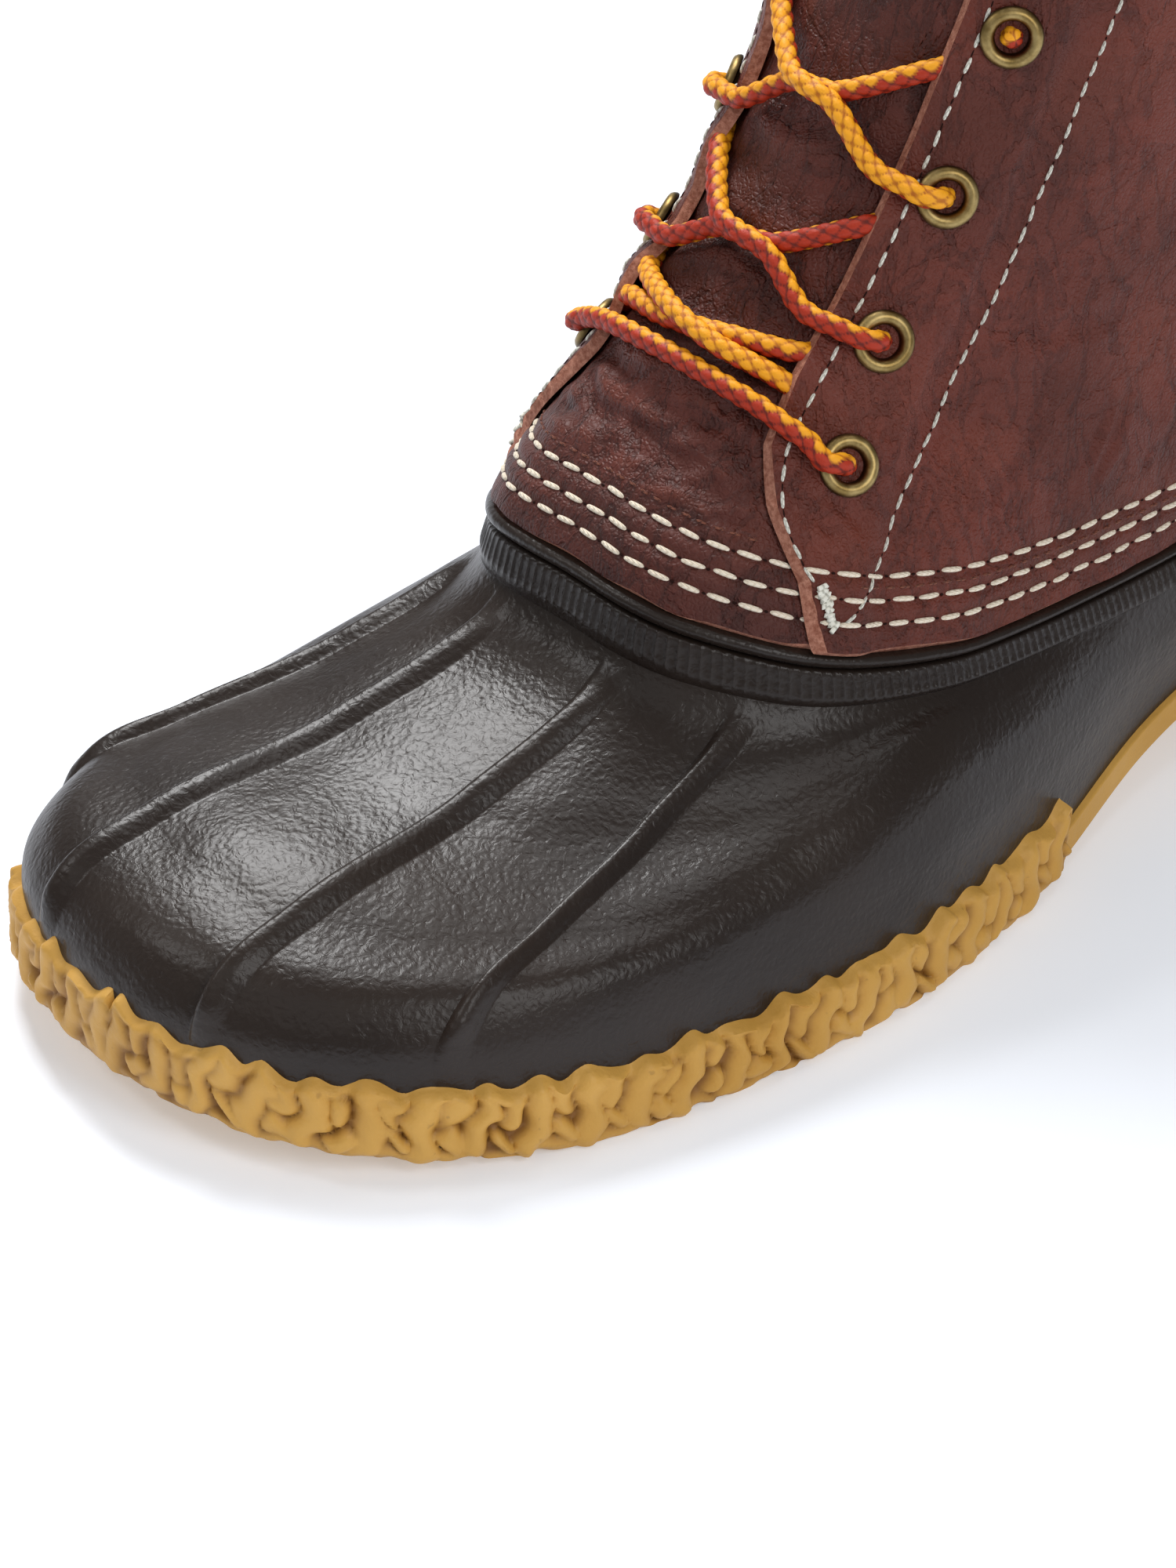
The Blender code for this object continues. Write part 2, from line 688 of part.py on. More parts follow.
def build_crossing(number, material, collection, helpers):
    """Two runs that cross over the tongue between one pair of eyelets and the next, joined where they meet."""
    low, high = EYELETS[number - 1 : number + 1]
    from_level = low[0] + (high[0] - low[0]) * (0.3 if number == 1 else 0.0)
    to_level = low[0] + (high[0] - low[0]) * 0.72
    reach = throat(to_level) - 5.0
    if number == 1:
        start = (from_level, throat(from_level) - 5.0)
        heights = (over_tongue(), over_tongue() + LACE / 4, over_tongue())
    else:
        start = (low[0], low[1])
        heights = (over_eyelet(), over_quarter(), over_quarter(), over_tongue() + LACE / 2, over_tongue())
    name = f"lace_cross_{number}"
    first = tube(name, lace_run(start, (to_level, -reach), heights), material, collection)
    mirror = (start[0], -start[1])
    second = tube(name + "_other", lace_run(mirror, (to_level, reach), heights), material, helpers)
    second.hide_render = True
    second.display_type = "WIRE"
    join = first.modifiers.new("joined", "BOOLEAN")
    join.operation = "UNION"
    join.object = second
    return first


# The scene


def move_to(cutter, cutters):
    for owner in list(cutter.users_collection):
        owner.objects.unlink(cutter)
    cutters.objects.link(cutter)
    cutter.hide_render = True
    cutter.display_type = "WIRE"


def principled(name, colour, roughness, metallic=0.0):
    material = bpy.data.materials.new(name)
    material.use_nodes = True
    shader = material.node_tree.nodes["Principled BSDF"]
    shader.inputs["Base Color"].default_value = (*colour, 1)
    shader.inputs["Roughness"].default_value = roughness
    shader.inputs["Metallic"].default_value = metallic
    return material


def new_collection(name):
    collection = bpy.data.collections.new(name)
    bpy.context.scene.collection.children.link(collection)
    return collection


def main():
    for thing in list(bpy.data.objects):
        bpy.data.objects.remove(thing)
    boot = new_collection("duck_boot")
    grooves = new_collection("tread_grooves")
    holes = new_collection("eyelet_holes")
    helpers = new_collection("lace_helpers")
    gum = principled("gum rubber", (0.50, 0.29, 0.09), 0.6)
    rubber = principled("brown rubber", (0.042, 0.030, 0.024), 0.4)
    leather = principled("brown leather", (0.11, 0.035, 0.020), 0.5)
    felt = principled("insole felt", (0.30, 0.22, 0.15), 0.9)
    brass = principled("aged brass", (0.35, 0.25, 0.10), 0.35, 1.0)
    cord = principled("lace cord", (0.72, 0.33, 0.04), 0.6)

    build_outsole(gum, boot, grooves)
    build_shell(rubber, boot)
    build_quarters(leather, boot, holes)
    build_tongue(leather, boot)
    build_insole(felt, boot)
    for side, word in ((1, "outer"), (-1, "inner")):
        for number, place in enumerate(EYELETS, 1):
            build_eyelet(f"eyelet_{word}_{number}", side, place, brass, boot)
    build_lace_bar(cord, boot)
    for number in range(1, len(EYELETS)):
        build_crossing(number, cord, boot, helpers)


main()
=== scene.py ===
# %% [markdown]
# # A left duck boot
# A duck boot joins two kinds of shoemaking: a moulded rubber bottom that keeps water out, and a stitched
# leather shaft above it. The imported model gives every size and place. Each cell below dresses one piece or
# mixes one finish, and says what it is on the real boot.

import math

import bpy
import numpy as np
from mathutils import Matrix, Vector


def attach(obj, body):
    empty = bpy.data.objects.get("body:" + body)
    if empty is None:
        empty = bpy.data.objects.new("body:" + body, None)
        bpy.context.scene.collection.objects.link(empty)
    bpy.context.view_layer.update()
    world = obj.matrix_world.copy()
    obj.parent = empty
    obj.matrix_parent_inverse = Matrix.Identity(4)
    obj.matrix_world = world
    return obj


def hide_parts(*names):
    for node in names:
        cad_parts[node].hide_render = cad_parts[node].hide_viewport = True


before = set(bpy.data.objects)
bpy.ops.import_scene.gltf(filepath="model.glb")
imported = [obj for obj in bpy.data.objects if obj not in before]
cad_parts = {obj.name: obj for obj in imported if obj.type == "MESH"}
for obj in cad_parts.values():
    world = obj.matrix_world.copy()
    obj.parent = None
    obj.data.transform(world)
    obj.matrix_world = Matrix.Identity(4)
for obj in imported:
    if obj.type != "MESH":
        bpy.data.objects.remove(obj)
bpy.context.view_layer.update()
print("solids to dress:", len(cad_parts))

# %% [markdown]
# ## One skin for the whole boot
# A boot is made round a last, so all its surfaces are layers over one form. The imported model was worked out
# from such a form, and its named sizes are repeated here, so that a fine mesh lies where the plain solid is.
# A turn picks a meridian, from 0 at the toe to 180 at the heel, plus on the outer side, minus on the inner.
# A level climbs the meridian from the sole. One could also subdivide the plain solids, but then ribs, lumps
# and creases could not be laid along the form.

# %% The boot's sizes, in metres
LENGTH = 0.305
BALL_WIDTH = 0.118
BOOT_HEIGHT = 0.170
HEEL_SPOT = 0.245
HEEL_SWING = -0.0075
GAP = 0.0003
PLATE = 0.005
TOE_SPRING = 0.0078
SPRING_END = 0.075
ARCH_RISE = 0.0115
ARCH_START = 0.150
ARCH_END = 0.226
HEEL_TOP = 0.019
HEEL_BREAST = 0.237
BUMPER_HEIGHT = 0.0135
BUMPER_DEPTH = 0.0036
BUMPER_END = 0.172
BAND_PROUD = 0.0008
SHELL_WALL = 0.0024
BAND_HEIGHT = 0.058
BAND_STEP = 0.0016
LIP_SETBACK = 0.0025
LEATHER = 0.0020
TONGUE_WALL = 0.0018
BACK_STRIP_STEP = 0.0008
BACK_STRIP_TURN = 9.0
GUSSET_TURN = 58.0
INSOLE = 0.0035
EYELET_RADIUS = 0.0050
LACE = 0.0038
RIDGE_HEIGHT = 0.0020
RIDGE_TURNS = (-38.0, -12.5, 12.5, 38.0)
EDGE_LEVEL = 6.0
SHELL_TOP_LEVEL = 6.4
COLLAR_LEVEL = 10.0
TONGUE_TOP_LEVEL = 10.6

# %% [markdown]
# ### The tables that shape the skin
# Each row is one meridian or one ring, and its lengths are shares of the sizes above. Between the rows the
# skin is a smooth curve, so few rows are enough.

# %% Tables of the outline, the band, the wall and the shaft
# turn, centre and fullness of the sole's outline
SOLE_PLAN = (
    (0, 0.000, 0.840),
    (20, -0.027, 0.840),
    (35, -0.020, 0.745),
    (50, 0.010, 0.640),
    (65, 0.034, 0.555),
    (80, 0.047, 0.488),
    (95, 0.041, 0.405),
    (108, 0.005, 0.366),
    (118, -0.018, 0.376),
    (130, -0.041, 0.425),
    (145, -0.052, 0.520),
    (160, -0.058, 0.590),
    (180, -0.064, 0.620),
)
# turn, place, centre and fullness of the band's lower edge, its height, the climb to the leather, and the
# turn on the round shaft
BAND_LINE = (
    (0, 0.3213, 0.000, 0.542, 1.000, 0.155, 0.0),
    (12.5, 0.3223, 0.000, 0.542, 0.991, 0.155, 8.0),
    (25, 0.3328, 0.000, 0.475, 0.966, 0.155, 17.0),
    (37.5, 0.3574, 0.000, 0.449, 0.922, 0.150, 25.5),
    (50, 0.3852, 0.004, 0.419, 0.879, 0.143, 34.7),
    (62, 0.4164, 0.008, 0.394, 0.845, 0.133, 43.4),
    (75, 0.4590, 0.013, 0.373, 0.805, 0.124, 53.5),
    (90, 0.5082, 0.017, 0.356, 0.771, 0.112, 64.0),
    (100, 0.5738, 0.008, 0.354, 0.741, 0.107, 76.0),
    (110, 0.6656, -0.008, 0.360, 0.712, 0.110, 92.6),
    (130, 0.8098, -0.034, 0.390, 0.724, 0.112, 119.5),
    (150, 0.9213, -0.051, 0.490, 0.776, 0.121, 147.0),
    (180, 0.9820, -0.064, 0.590, 0.828, 0.121, 180.0),
)
# turn, then run and rise at four points of the wall, and its bulge
PROFILES = (
    (0, 0.00, 0.248, 0.04, 0.392, 0.22, 0.546, 0.62, 0.657, 0.000),
    (37.5, 0.00, 0.354, 0.06, 0.460, 0.28, 0.551, 0.66, 0.692, 0.000),
    (62, 0.00, 0.355, 0.08, 0.520, 0.32, 0.680, 0.66, 0.830, 0.008),
    (75, 0.02, 0.384, 0.12, 0.585, 0.36, 0.790, 0.68, 0.920, 0.014),
    (90, 0.05, 0.320, 0.18, 0.550, 0.42, 0.780, 0.72, 0.906, 0.020),
    (110, 0.10, 0.240, 0.30, 0.480, 0.55, 0.700, 0.80, 0.870, 0.016),
    (140, 0.10, 0.240, 0.30, 0.480, 0.55, 0.700, 0.80, 0.870, 0.018),
    (180, 0.10, 0.240, 0.30, 0.480, 0.55, 0.700, 0.80, 0.870, 0.026),
)
BULGE_AT_POINTS = (0.35, 0.85, 1.0, 0.6)
# front, back, half width, height at front, side and back, and bluntness of each ring of the shaft
SHAFT = (
    (0.3967, 0.9720, 0.330, 0.538, 0.455, 0.465, 0.70),
    (0.4590, 0.9590, 0.318, 0.662, 0.615, 0.625, 0.78),
    (0.5115, 0.9560, 0.330, 0.818, 0.790, 0.800, 0.86),
    (0.5510, 0.9640, 0.360, 1.000, 0.965, 0.985, 0.90),
    (0.5640, 0.9690, 0.370, 1.100, 1.065, 1.085, 0.90),
)
# level and turn of the quarters' front edge
THROAT = (
    (6.0, 53.0),
    (6.3, 48.0),
    (6.6, 38.0),
    (6.9, 31.5),
    (7.3, 30.5),
    (8.0, 31.0),
    (9.0, 33.0),
    (10.0, 35.0),
    (11.0, 36.0),
)
# level and turn of each eyelet of the outer side
EYELETS = (
    (6.86, 50.0),
    (7.62, 46.0),
    (8.50, 46.0),
    (9.40, 47.0),
)

# %% [markdown]
# ### Curves through the tables

# %% Reading the tables
def column(table, index):
    return np.array([row[index] for row in table], float)


def smooth(stations, values, where, level_ends=True):
    """A smooth curve through the table's rows, level at both ends where the boot's two sides meet."""
    slopes = np.gradient(values, stations)
    if level_ends:
        slopes[0] = 0.0
        slopes[-1] = 0.0
    where = np.clip(np.asarray(where, float), stations[0], stations[-1])
    i = np.clip(np.searchsorted(stations, where) - 1, 0, len(stations) - 2)
    span = stations[i + 1] - stations[i]
    t = (where - stations[i]) / span
    rise = values[i + 1] - values[i]
    start = t * (1 - t) ** 2 * span * slopes[i]
    end = t * t * (t - 1) * span * slopes[i + 1]
    return values[i] + t * t * (3 - 2 * t) * rise + start + end


def read(table, index, where, level_ends=True):
    return smooth(column(table, 0), column(table, index), where, level_ends)


def ramp(value, start, end):
    """0 before start, 1 after end, and a soft climb between."""
    t = np.clip((np.asarray(value, float) - start) / (end - start), 0, 1)
    return t * t * (3 - 2 * t)


def bump(value, centre, width):
    """A soft bell: 1 at the centre and 0 from width away."""
    return 1 - ramp(np.abs(np.asarray(value, float) - centre), 0, width)


# %% [markdown]
# ### From turns and levels to places
# The outline and the band's edge are plan curves. The skin joins the points of each meridian with a smooth
# curve, and its normals let any layer lie a known distance above it.

# %% The skin and its normals
def wrapped(turn):
    return (np.asarray(turn, float) + 180) % 360 - 180


def outline(turn):
    size = np.abs(turn)
    side = np.sin(np.radians(turn))
    across = (read(SOLE_PLAN, 1, size) + read(SOLE_PLAN, 2, size) * side) * BALL_WIDTH
    return np.stack([across, LENGTH * (1 - np.cos(np.radians(turn))) / 2], -1)


def band_plan(turn):
    size = np.abs(turn)
    side = np.sin(np.radians(turn))
    across = (read(BAND_LINE, 2, size) + read(BAND_LINE, 3, size) * side) * BALL_WIDTH
    return np.stack([across, read(BAND_LINE, 1, size) * LENGTH], -1)


def outward(curve, turn, step=0.5):
    """The outward direction of a plan curve."""
    along = curve(wrapped(turn + step)) - curve(wrapped(turn - step))
    across = np.stack([along[..., 1], -along[..., 0]], -1)
    return across / np.linalg.norm(across, axis=-1, keepdims=True)


def inset_outline(turn, distance):
    return outline(turn) - outward(outline, turn) * np.asarray(distance)[..., None]


def spring(along):
    return TOE_SPRING * np.clip(1 - along / SPRING_END, 0, 1) ** 2


def plate_top(along):
    arch = ARCH_RISE * ramp(along, ARCH_START, ARCH_END)
    heel = (HEEL_TOP - ARCH_RISE - PLATE) * ramp(along, ARCH_END, LENGTH)
    return PLATE + spring(along) + arch + heel


def plate_bottom(along):
    arch = ARCH_RISE * ramp(along, ARCH_START, ARCH_END)
    return spring(along) + np.where(along < HEEL_BREAST, arch, 0.0)


def to_space(plan, height):
    return np.stack([plan[..., 0], plan[..., 1] - HEEL_SPOT, height], -1)


def shaft_point(turn, ring):
    front, back, half, front_height, side_height, back_height, blunt = ring
    angle = np.radians(read(BAND_LINE, 6, np.abs(turn), False))
    share = (1 - np.cos(angle)) / 2
    along = LENGTH * (front + (back - front) * share)
    power = blunt + (1 - blunt) * share
    across = half * BALL_WIDTH * np.sign(turn) * np.abs(np.sin(angle)) ** power
    ends = front_height + (back_height - front_height) * share
    middle = (side_height - (front_height + back_height) / 2) * np.sin(angle) ** 2
    return to_space(np.stack([across + HEEL_SWING * share, along], -1), BOOT_HEIGHT * (ends + middle))


def skeleton(turn):
    """The points that each meridian runs through, from the sole's plate to above the collar."""
    size = np.abs(turn)
    foot_plan = inset_outline(turn, np.full(turn.shape, BUMPER_DEPTH + GAP))
    foot = to_space(foot_plan, plate_top(foot_plan[..., 1]) + GAP)
    band = to_space(band_plan(turn), read(BAND_LINE, 4, size) * BAND_HEIGHT)
    points = [foot]
    for number, swell in enumerate(BULGE_AT_POINTS):
        run = read(PROFILES, 1 + 2 * number, size)[..., None]
        rise = read(PROFILES, 2 + 2 * number, size)[..., None]
        point = foot + (band - foot) * np.concatenate([run, run, rise], -1)
        bulge = read(PROFILES, 9, size) * BALL_WIDTH * swell
        point[..., :2] += outward(outline, turn) * bulge[..., None]
        points.append(point)
    edge = band.copy()
    edge[..., :2] -= outward(band_plan, turn) * LIP_SETBACK
    edge[..., 2] += read(BAND_LINE, 5, size) * BAND_HEIGHT
    points += [band, edge]
    points.extend(shaft_point(turn, ring) for ring in SHAFT)
    return np.stack(points)


def skin(turn, level):
    """The skin's point on each meridian at each level."""
    turn, level = np.broadcast_arrays(np.asarray(turn, float), np.asarray(level, float))
    points = skeleton(wrapped(turn))
    chords = np.linalg.norm(np.diff(points, axis=0), axis=-1)[..., None]
    lines = np.diff(points, axis=0) / chords
    slopes = np.empty_like(points)
    slopes[1:-1] = (lines[:-1] * chords[1:] + lines[1:] * chords[:-1]) / (chords[1:] + chords[:-1])
    slopes[0] = lines[0]
    slopes[-1] = lines[-1]
    i = np.clip(np.floor(level).astype(int), 0, len(points) - 2)
    t = (level - i)[..., None]
    here = tuple(np.indices(turn.shape))
    below = points[(i, *here)]
    above = points[(i + 1, *here)]
    span = chords[(i, *here)]
    start = t * (1 - t) ** 2 * span * slopes[(i, *here)]
    end = t * t * (t - 1) * span * slopes[(i + 1, *here)]
    return below + t * t * (3 - 2 * t) * (above - below) + start + end


def normals(turn, level, turn_step=0.6, level_step=0.04):
    """The outward directions at right angles to the skin."""
    across = skin(turn + turn_step, level) - skin(turn - turn_step, level)
    upper = np.minimum(level + level_step, len(SHAFT) + EDGE_LEVEL)
    lower = np.maximum(level - level_step, 0.0)
    facing = np.cross(across, skin(turn, upper) - skin(turn, lower))
    return facing / np.linalg.norm(facing, axis=-1, keepdims=True)


def layer(turn, level, height):
    """Points at a height above the skin."""
    turn, level, height = np.broadcast_arrays(*(np.asarray(v, float) for v in (turn, level, height)))
    return skin(turn, level) + normals(turn, level) * height[..., None]


def throat(level):
    return np.interp(level, column(THROAT, 0), column(THROAT, 1))


print("outline at the ball:", np.round(outline(np.array([80.0, -80.0])) * 1000, 1).tolist(), "mm")

# %% [markdown]
# ## The camera
# The photo looks down on the toe from the outer side, through a long lens. The camera was solved from the
# sole's outline, so it is written as a turn about the forefoot, a height, a roll and a distance. Placing a
# camera by eye would take many tries and would never sit quite right.

# %% Camera
TARGET = Vector((0.020, -0.1525, 0.030))
CAMERA_TURN = math.radians(48.345)
CAMERA_HEIGHT = math.radians(32.463)
CAMERA_ROLL = math.radians(1.225)
CAMERA_DISTANCE = 1.1494
CAMERA_SIDE = -0.00456
CAMERA_UP = 0.00484
LENS = 159.9

back = Vector((math.sin(CAMERA_TURN) * math.cos(CAMERA_HEIGHT),
               -math.cos(CAMERA_TURN) * math.cos(CAMERA_HEIGHT),
               math.sin(CAMERA_HEIGHT)))
level_right = Vector((math.cos(CAMERA_TURN), math.sin(CAMERA_TURN), 0))
level_up = back.cross(level_right)
right = level_right * math.cos(CAMERA_ROLL) + level_up * math.sin(CAMERA_ROLL)
up = level_up * math.cos(CAMERA_ROLL) - level_right * math.sin(CAMERA_ROLL)

lens = bpy.data.cameras.new("camera")
lens.lens = LENS
lens.sensor_width = 36
lens.clip_end = 20
camera = bpy.data.objects.new("camera", lens)
bpy.context.scene.collection.objects.link(camera)
facing = camera.matrix_world.copy()
for axis, direction in enumerate((right, up, back)):
    for row in range(3):
        facing[row][axis] = direction[row]
facing.translation = TARGET + back * CAMERA_DISTANCE + right * CAMERA_SIDE + up * CAMERA_UP
camera.matrix_world = facing
bpy.context.scene.camera = camera
print("camera stands at", [round(v, 3) for v in facing.translation])

# %% [markdown]
# ## Meshes from nets
# Every layer here is a net: rows of points that climb the boot, with one column for each turn. Blender could
# shrink-wrap a grid on a form, but a net worked out from the skin has its rows where the edges are. A wall is
# two nets, an outer and an inner one, joined along every edge.

# %% Nets and walls
SHARP_FROM = math.radians(55)


def put(name, points, faces, materials, face_kind=None):
    """An object from points and faces, shown smooth, with a material for each kind of face."""
    mesh = bpy.data.meshes.new(name)
    mesh.from_pydata(points.reshape(-1, 3).tolist(), [], faces)
    for material in materials:
        mesh.materials.append(material)
    if face_kind is not None:
        mesh.polygons.foreach_set("material_index", np.asarray(face_kind, np.int32))
    mesh.shade_smooth()
    mesh.set_sharp_from_angle(angle=SHARP_FROM)
    piece = bpy.data.objects.new(name, mesh)
    bpy.context.scene.collection.objects.link(piece)
    print(name, "has", sum(len(face) - 2 for face in faces), "triangles")
    return piece


def net_faces(rows, columns, first, closed):
    """The faces of a net whose points start at first. A closed net runs right round."""
    k = np.arange(columns if closed else columns - 1)
    low = first + np.arange(rows - 1)[:, None] * columns
    after = (k + 1) % columns
    corners = [low + k, low + after, low + columns + after, low + columns + k]
    return np.stack(corners, -1).reshape(-1, 4).tolist()


def wall(name, outer, inner, closed, materials):
    """A wall between two nets with the same columns. The materials are for outside, inside and cut edge."""
    rows, columns = outer.shape[:2]
    start = rows * columns
    faces = net_faces(rows, columns, 0, closed)
    outside = len(faces)
    faces += [face[::-1] for face in net_faces(inner.shape[0], columns, start, closed)]
    inside = len(faces)
    last_inner = start + (inner.shape[0] - 1) * columns
    for k in range(columns if closed else columns - 1):
        after = (k + 1) % columns
        faces.append((after, k, start + k, start + after))
        faces.append((start - columns + k, start - columns + after, last_inner + after, last_inner + k))
    if not closed:
        for edge in (0, columns - 1):
            ladder = np.linspace(0, inner.shape[0] - 1, rows).round().astype(int)
            for row in range(rows - 1):
                low = row * columns + edge
                inner_low = start + ladder[row] * columns + edge
                inner_high = start + ladder[row + 1] * columns + edge
                face = list(dict.fromkeys([low, low + columns, inner_high, inner_low]))
                faces.append(face if edge == 0 else face[::-1])
    kinds = np.full(len(faces), 2)
    kinds[:outside] = 0
    kinds[outside:inside] = 1
    points = np.concatenate([outer.reshape(-1, 3), inner.reshape(-1, 3)])
    return put(name, points, faces, materials, kinds)


def store(piece, name, values):
    """Keeps one number for each point of a piece, for its finish to read."""
    layer_of_numbers = piece.data.attributes.new(name, "FLOAT", "POINT")
    layer_of_numbers.data.foreach_set("value", np.asarray(values, np.float32).ravel())


def lengths_along(points):
    """How far along their path the points lie."""
    steps = np.linalg.norm(np.diff(points, axis=0), axis=-1)
    return np.concatenate([[0.0], np.cumsum(steps)])


def evenly(turns, points, pitch):
    """Turns out of a fine list, picked so that their points lie pitch apart."""
    walked = lengths_along(points)
    return np.interp(np.linspace(0, walked[-1], round(walked[-1] / pitch) + 1), walked, turns)


def even_turns(pitch):
    """Turns of the outline's outer half from toe to heel, about pitch apart along its edge."""
    fine = np.linspace(0, 180, 2881)
    return evenly(fine, outline(fine), pitch)


def mirrored_turns(half):
    """The turns all round the boot, from those of its outer half."""
    return np.concatenate([half, -half[-2:0:-1]])


def grain(points, size, seed=0):
    """A smooth random field over space, between -1 and 1: a few waves in random directions."""
    source = np.random.default_rng(seed)
    total = np.zeros(points.shape[:-1])
    for _ in range(14):
        way = source.normal(size=3)
        way *= 2 * math.pi / size / np.linalg.norm(way) * source.uniform(0.6, 1.5)
        total += np.sin(points @ way + source.uniform(0, 2 * math.pi))
    return total / 14 ** 0.5 / 1.4

# %% [markdown]
# ## Finishes as expressions
# A finish is a small network of shader nodes. Drawn by hand it soon becomes a web of wires, so here a socket
# is wrapped in a small class, and arithmetic on it adds the nodes. Colours are mixed, never multiplied as
# numbers, because a Math node would turn them grey.

# %% The small class behind every finish
class Signal:
    """One output of a node, which can be used like a number."""

    def __init__(self, finish, socket):
        self.finish = finish
        self.socket = socket

    def math(self, operation, first, second=None):
        return self.finish.node("ShaderNodeMath", {"operation": operation}, {0: first, 1: second})

    def __add__(self, other):
        return self.math("ADD", self, other)

    def __sub__(self, other):
        return self.math("SUBTRACT", self, other)

    def __rsub__(self, other):
        return self.math("SUBTRACT", other, self)

    def __mul__(self, other):
        return self.math("MULTIPLY", self, other)

    __radd__ = __add__
    __rmul__ = __mul__

    def sine(self):
        return self.math("SINE", self)

    def off_middle(self, width):
        """0 where the value is a half, and 1 from width away: a noise turned into thin winding lines."""
        return self.math("ABSOLUTE", self - 0.5).between(0.0, width)

    def between(self, low, high):
        """0 below low, 1 above high, and a soft climb between."""
        sockets = {"Value": self, "From Min": low, "From Max": high}
        return self.finish.node("ShaderNodeMapRange", {"interpolation_type": "SMOOTHSTEP"}, sockets)


class Finish:
    """A material with a Principled BSDF, and short ways to feed it."""

    def __init__(self, name, roughness=0.5, metallic=0.0, specular=0.5):
        self.material = bpy.data.materials.new(name)
        self.material.use_nodes = True
        self.tree = self.material.node_tree
        self.shader = self.tree.nodes["Principled BSDF"]
        self.shader.inputs["Roughness"].default_value = roughness
        self.shader.inputs["Metallic"].default_value = metallic
        self.shader.inputs["Specular IOR Level"].default_value = specular
        self.place = self.node("ShaderNodeTexCoord", output="Object")

    def plug(self, value, socket):
        if isinstance(value, Signal):
            self.tree.links.new(value.socket, socket)
        elif value is not None:
            socket.default_value = value

    def node(self, kind, settings=None, sockets=None, output=0):
        made = self.tree.nodes.new(kind)
        for name, value in (settings or {}).items():
            setattr(made, name, value)
        for name, value in (sockets or {}).items():
            self.plug(value, made.inputs[name])
        return Signal(self, made.outputs[output])

    def feed(self, **values):
        """Links or sets the shader's own sockets, named with _ for each blank."""
        for name, value in values.items():
            self.plug(value, self.shader.inputs[name.replace("_", " ").title()])

    def stretched(self, x, y, z):
        return self.node("ShaderNodeVectorMath", {"operation": "MULTIPLY"}, {0: self.place, 1: (x, y, z)})

    def noise(self, scale, detail=3.0, rough=0.5, warp=0.0, place=None):
        sockets = {"Vector": place or self.place, "Scale": scale, "Detail": detail,
                   "Roughness": rough, "Distortion": warp}
        return self.node("ShaderNodeTexNoise", {}, sockets, "Fac")

    def cells(self, scale, feature="F1", place=None):
        sockets = {"Vector": place or self.place, "Scale": scale}
        return self.node("ShaderNodeTexVoronoi", {"feature": feature}, sockets, "Distance")

    def mix(self, share, first, second):
        return self.node("ShaderNodeMix", {"data_type": "RGBA"}, {0: share, 6: first, 7: second}, 2)

    def number(self, name):
        return self.node("ShaderNodeAttribute", {"attribute_name": name}, {}, "Fac")

    def relief(self, height, depth, under=None):
        """A bump as deep as depth, in metres, where height runs from 0 to 1."""
        sockets = {"Distance": depth, "Height": height, "Normal": under}
        return self.node("ShaderNodeBump", {}, sockets, "Normal")


def paint(red, green, blue):
    """A colour as it is read off a screen, from 0 to 255, in the linear values that a shader takes."""
    shares = [value / 255 for value in (red, green, blue)]
    return tuple(s / 12.92 if s <= 0.04045 else ((s + 0.055) / 1.055) ** 2.4 for s in shares) + (1.0,)


print("the gum's colour, linear:", [round(v, 3) for v in paint(205, 157, 74)])

# %% [markdown]
# ## Rubber
# The bottom is two rubbers: dark brown for the shell, moulded with a fine pebbled skin, and tan gum for the
# sole. The pebbles are cells a millimetre wide, as a bump. The gum is duller, gets painted shade in the folds
# between its lumps, and a few darker spots at random.

# %% Shell rubber and gum
def shell_rubber():
    f = Finish("shell rubber", specular=0.28)
    pebbles = f.cells(950.0, "SMOOTH_F1")
    worms = f.noise(620.0, 2.0, 0.55, 1.2)
    patches = f.noise(28.0, 2.0)
    skin_bump = f.relief(pebbles * 0.6 + worms * 0.7, 0.00016)
    wide = f.relief(f.noise(70.0, 2.0), 0.0005, skin_bump)
    tone = f.mix(patches.between(0.35, 0.7), paint(34, 26, 22), paint(40, 31, 26))
    smears = f.noise(9.0, 4.0, 0.6, 0.8).between(0.45, 0.75)
    tone = f.mix(smears * 0.35, tone, paint(46, 38, 31))
    f.feed(base_color=tone, roughness=0.28 + patches * 0.12, normal=wide)
    return f.material


def gum_rubber():
    f = Finish("gum rubber", specular=0.4)
    # painted shade: the gum is darkened in the folds between its lumps
    fold_shade = f.number("fold_shade")
    clouds = f.noise(35.0, 3.0).between(0.3, 0.75)
    tone = f.mix(clouds, paint(205, 157, 74), paint(190, 142, 60))
    tone = f.mix(fold_shade.between(0.25, 0.9), tone, paint(132, 88, 32))
    tone = f.mix(f.noise(420.0, 2.0).between(0.70, 0.78) * 0.35, tone, paint(120, 84, 40))
    small = f.relief(f.noise(260.0, 4.0, 0.6), 0.0004)
    f.feed(base_color=tone, roughness=0.50 + clouds * 0.12, normal=small)
    return f.material


SHELL_RUBBER = shell_rubber()
GUM = gum_rubber()
print("rubbers mixed")
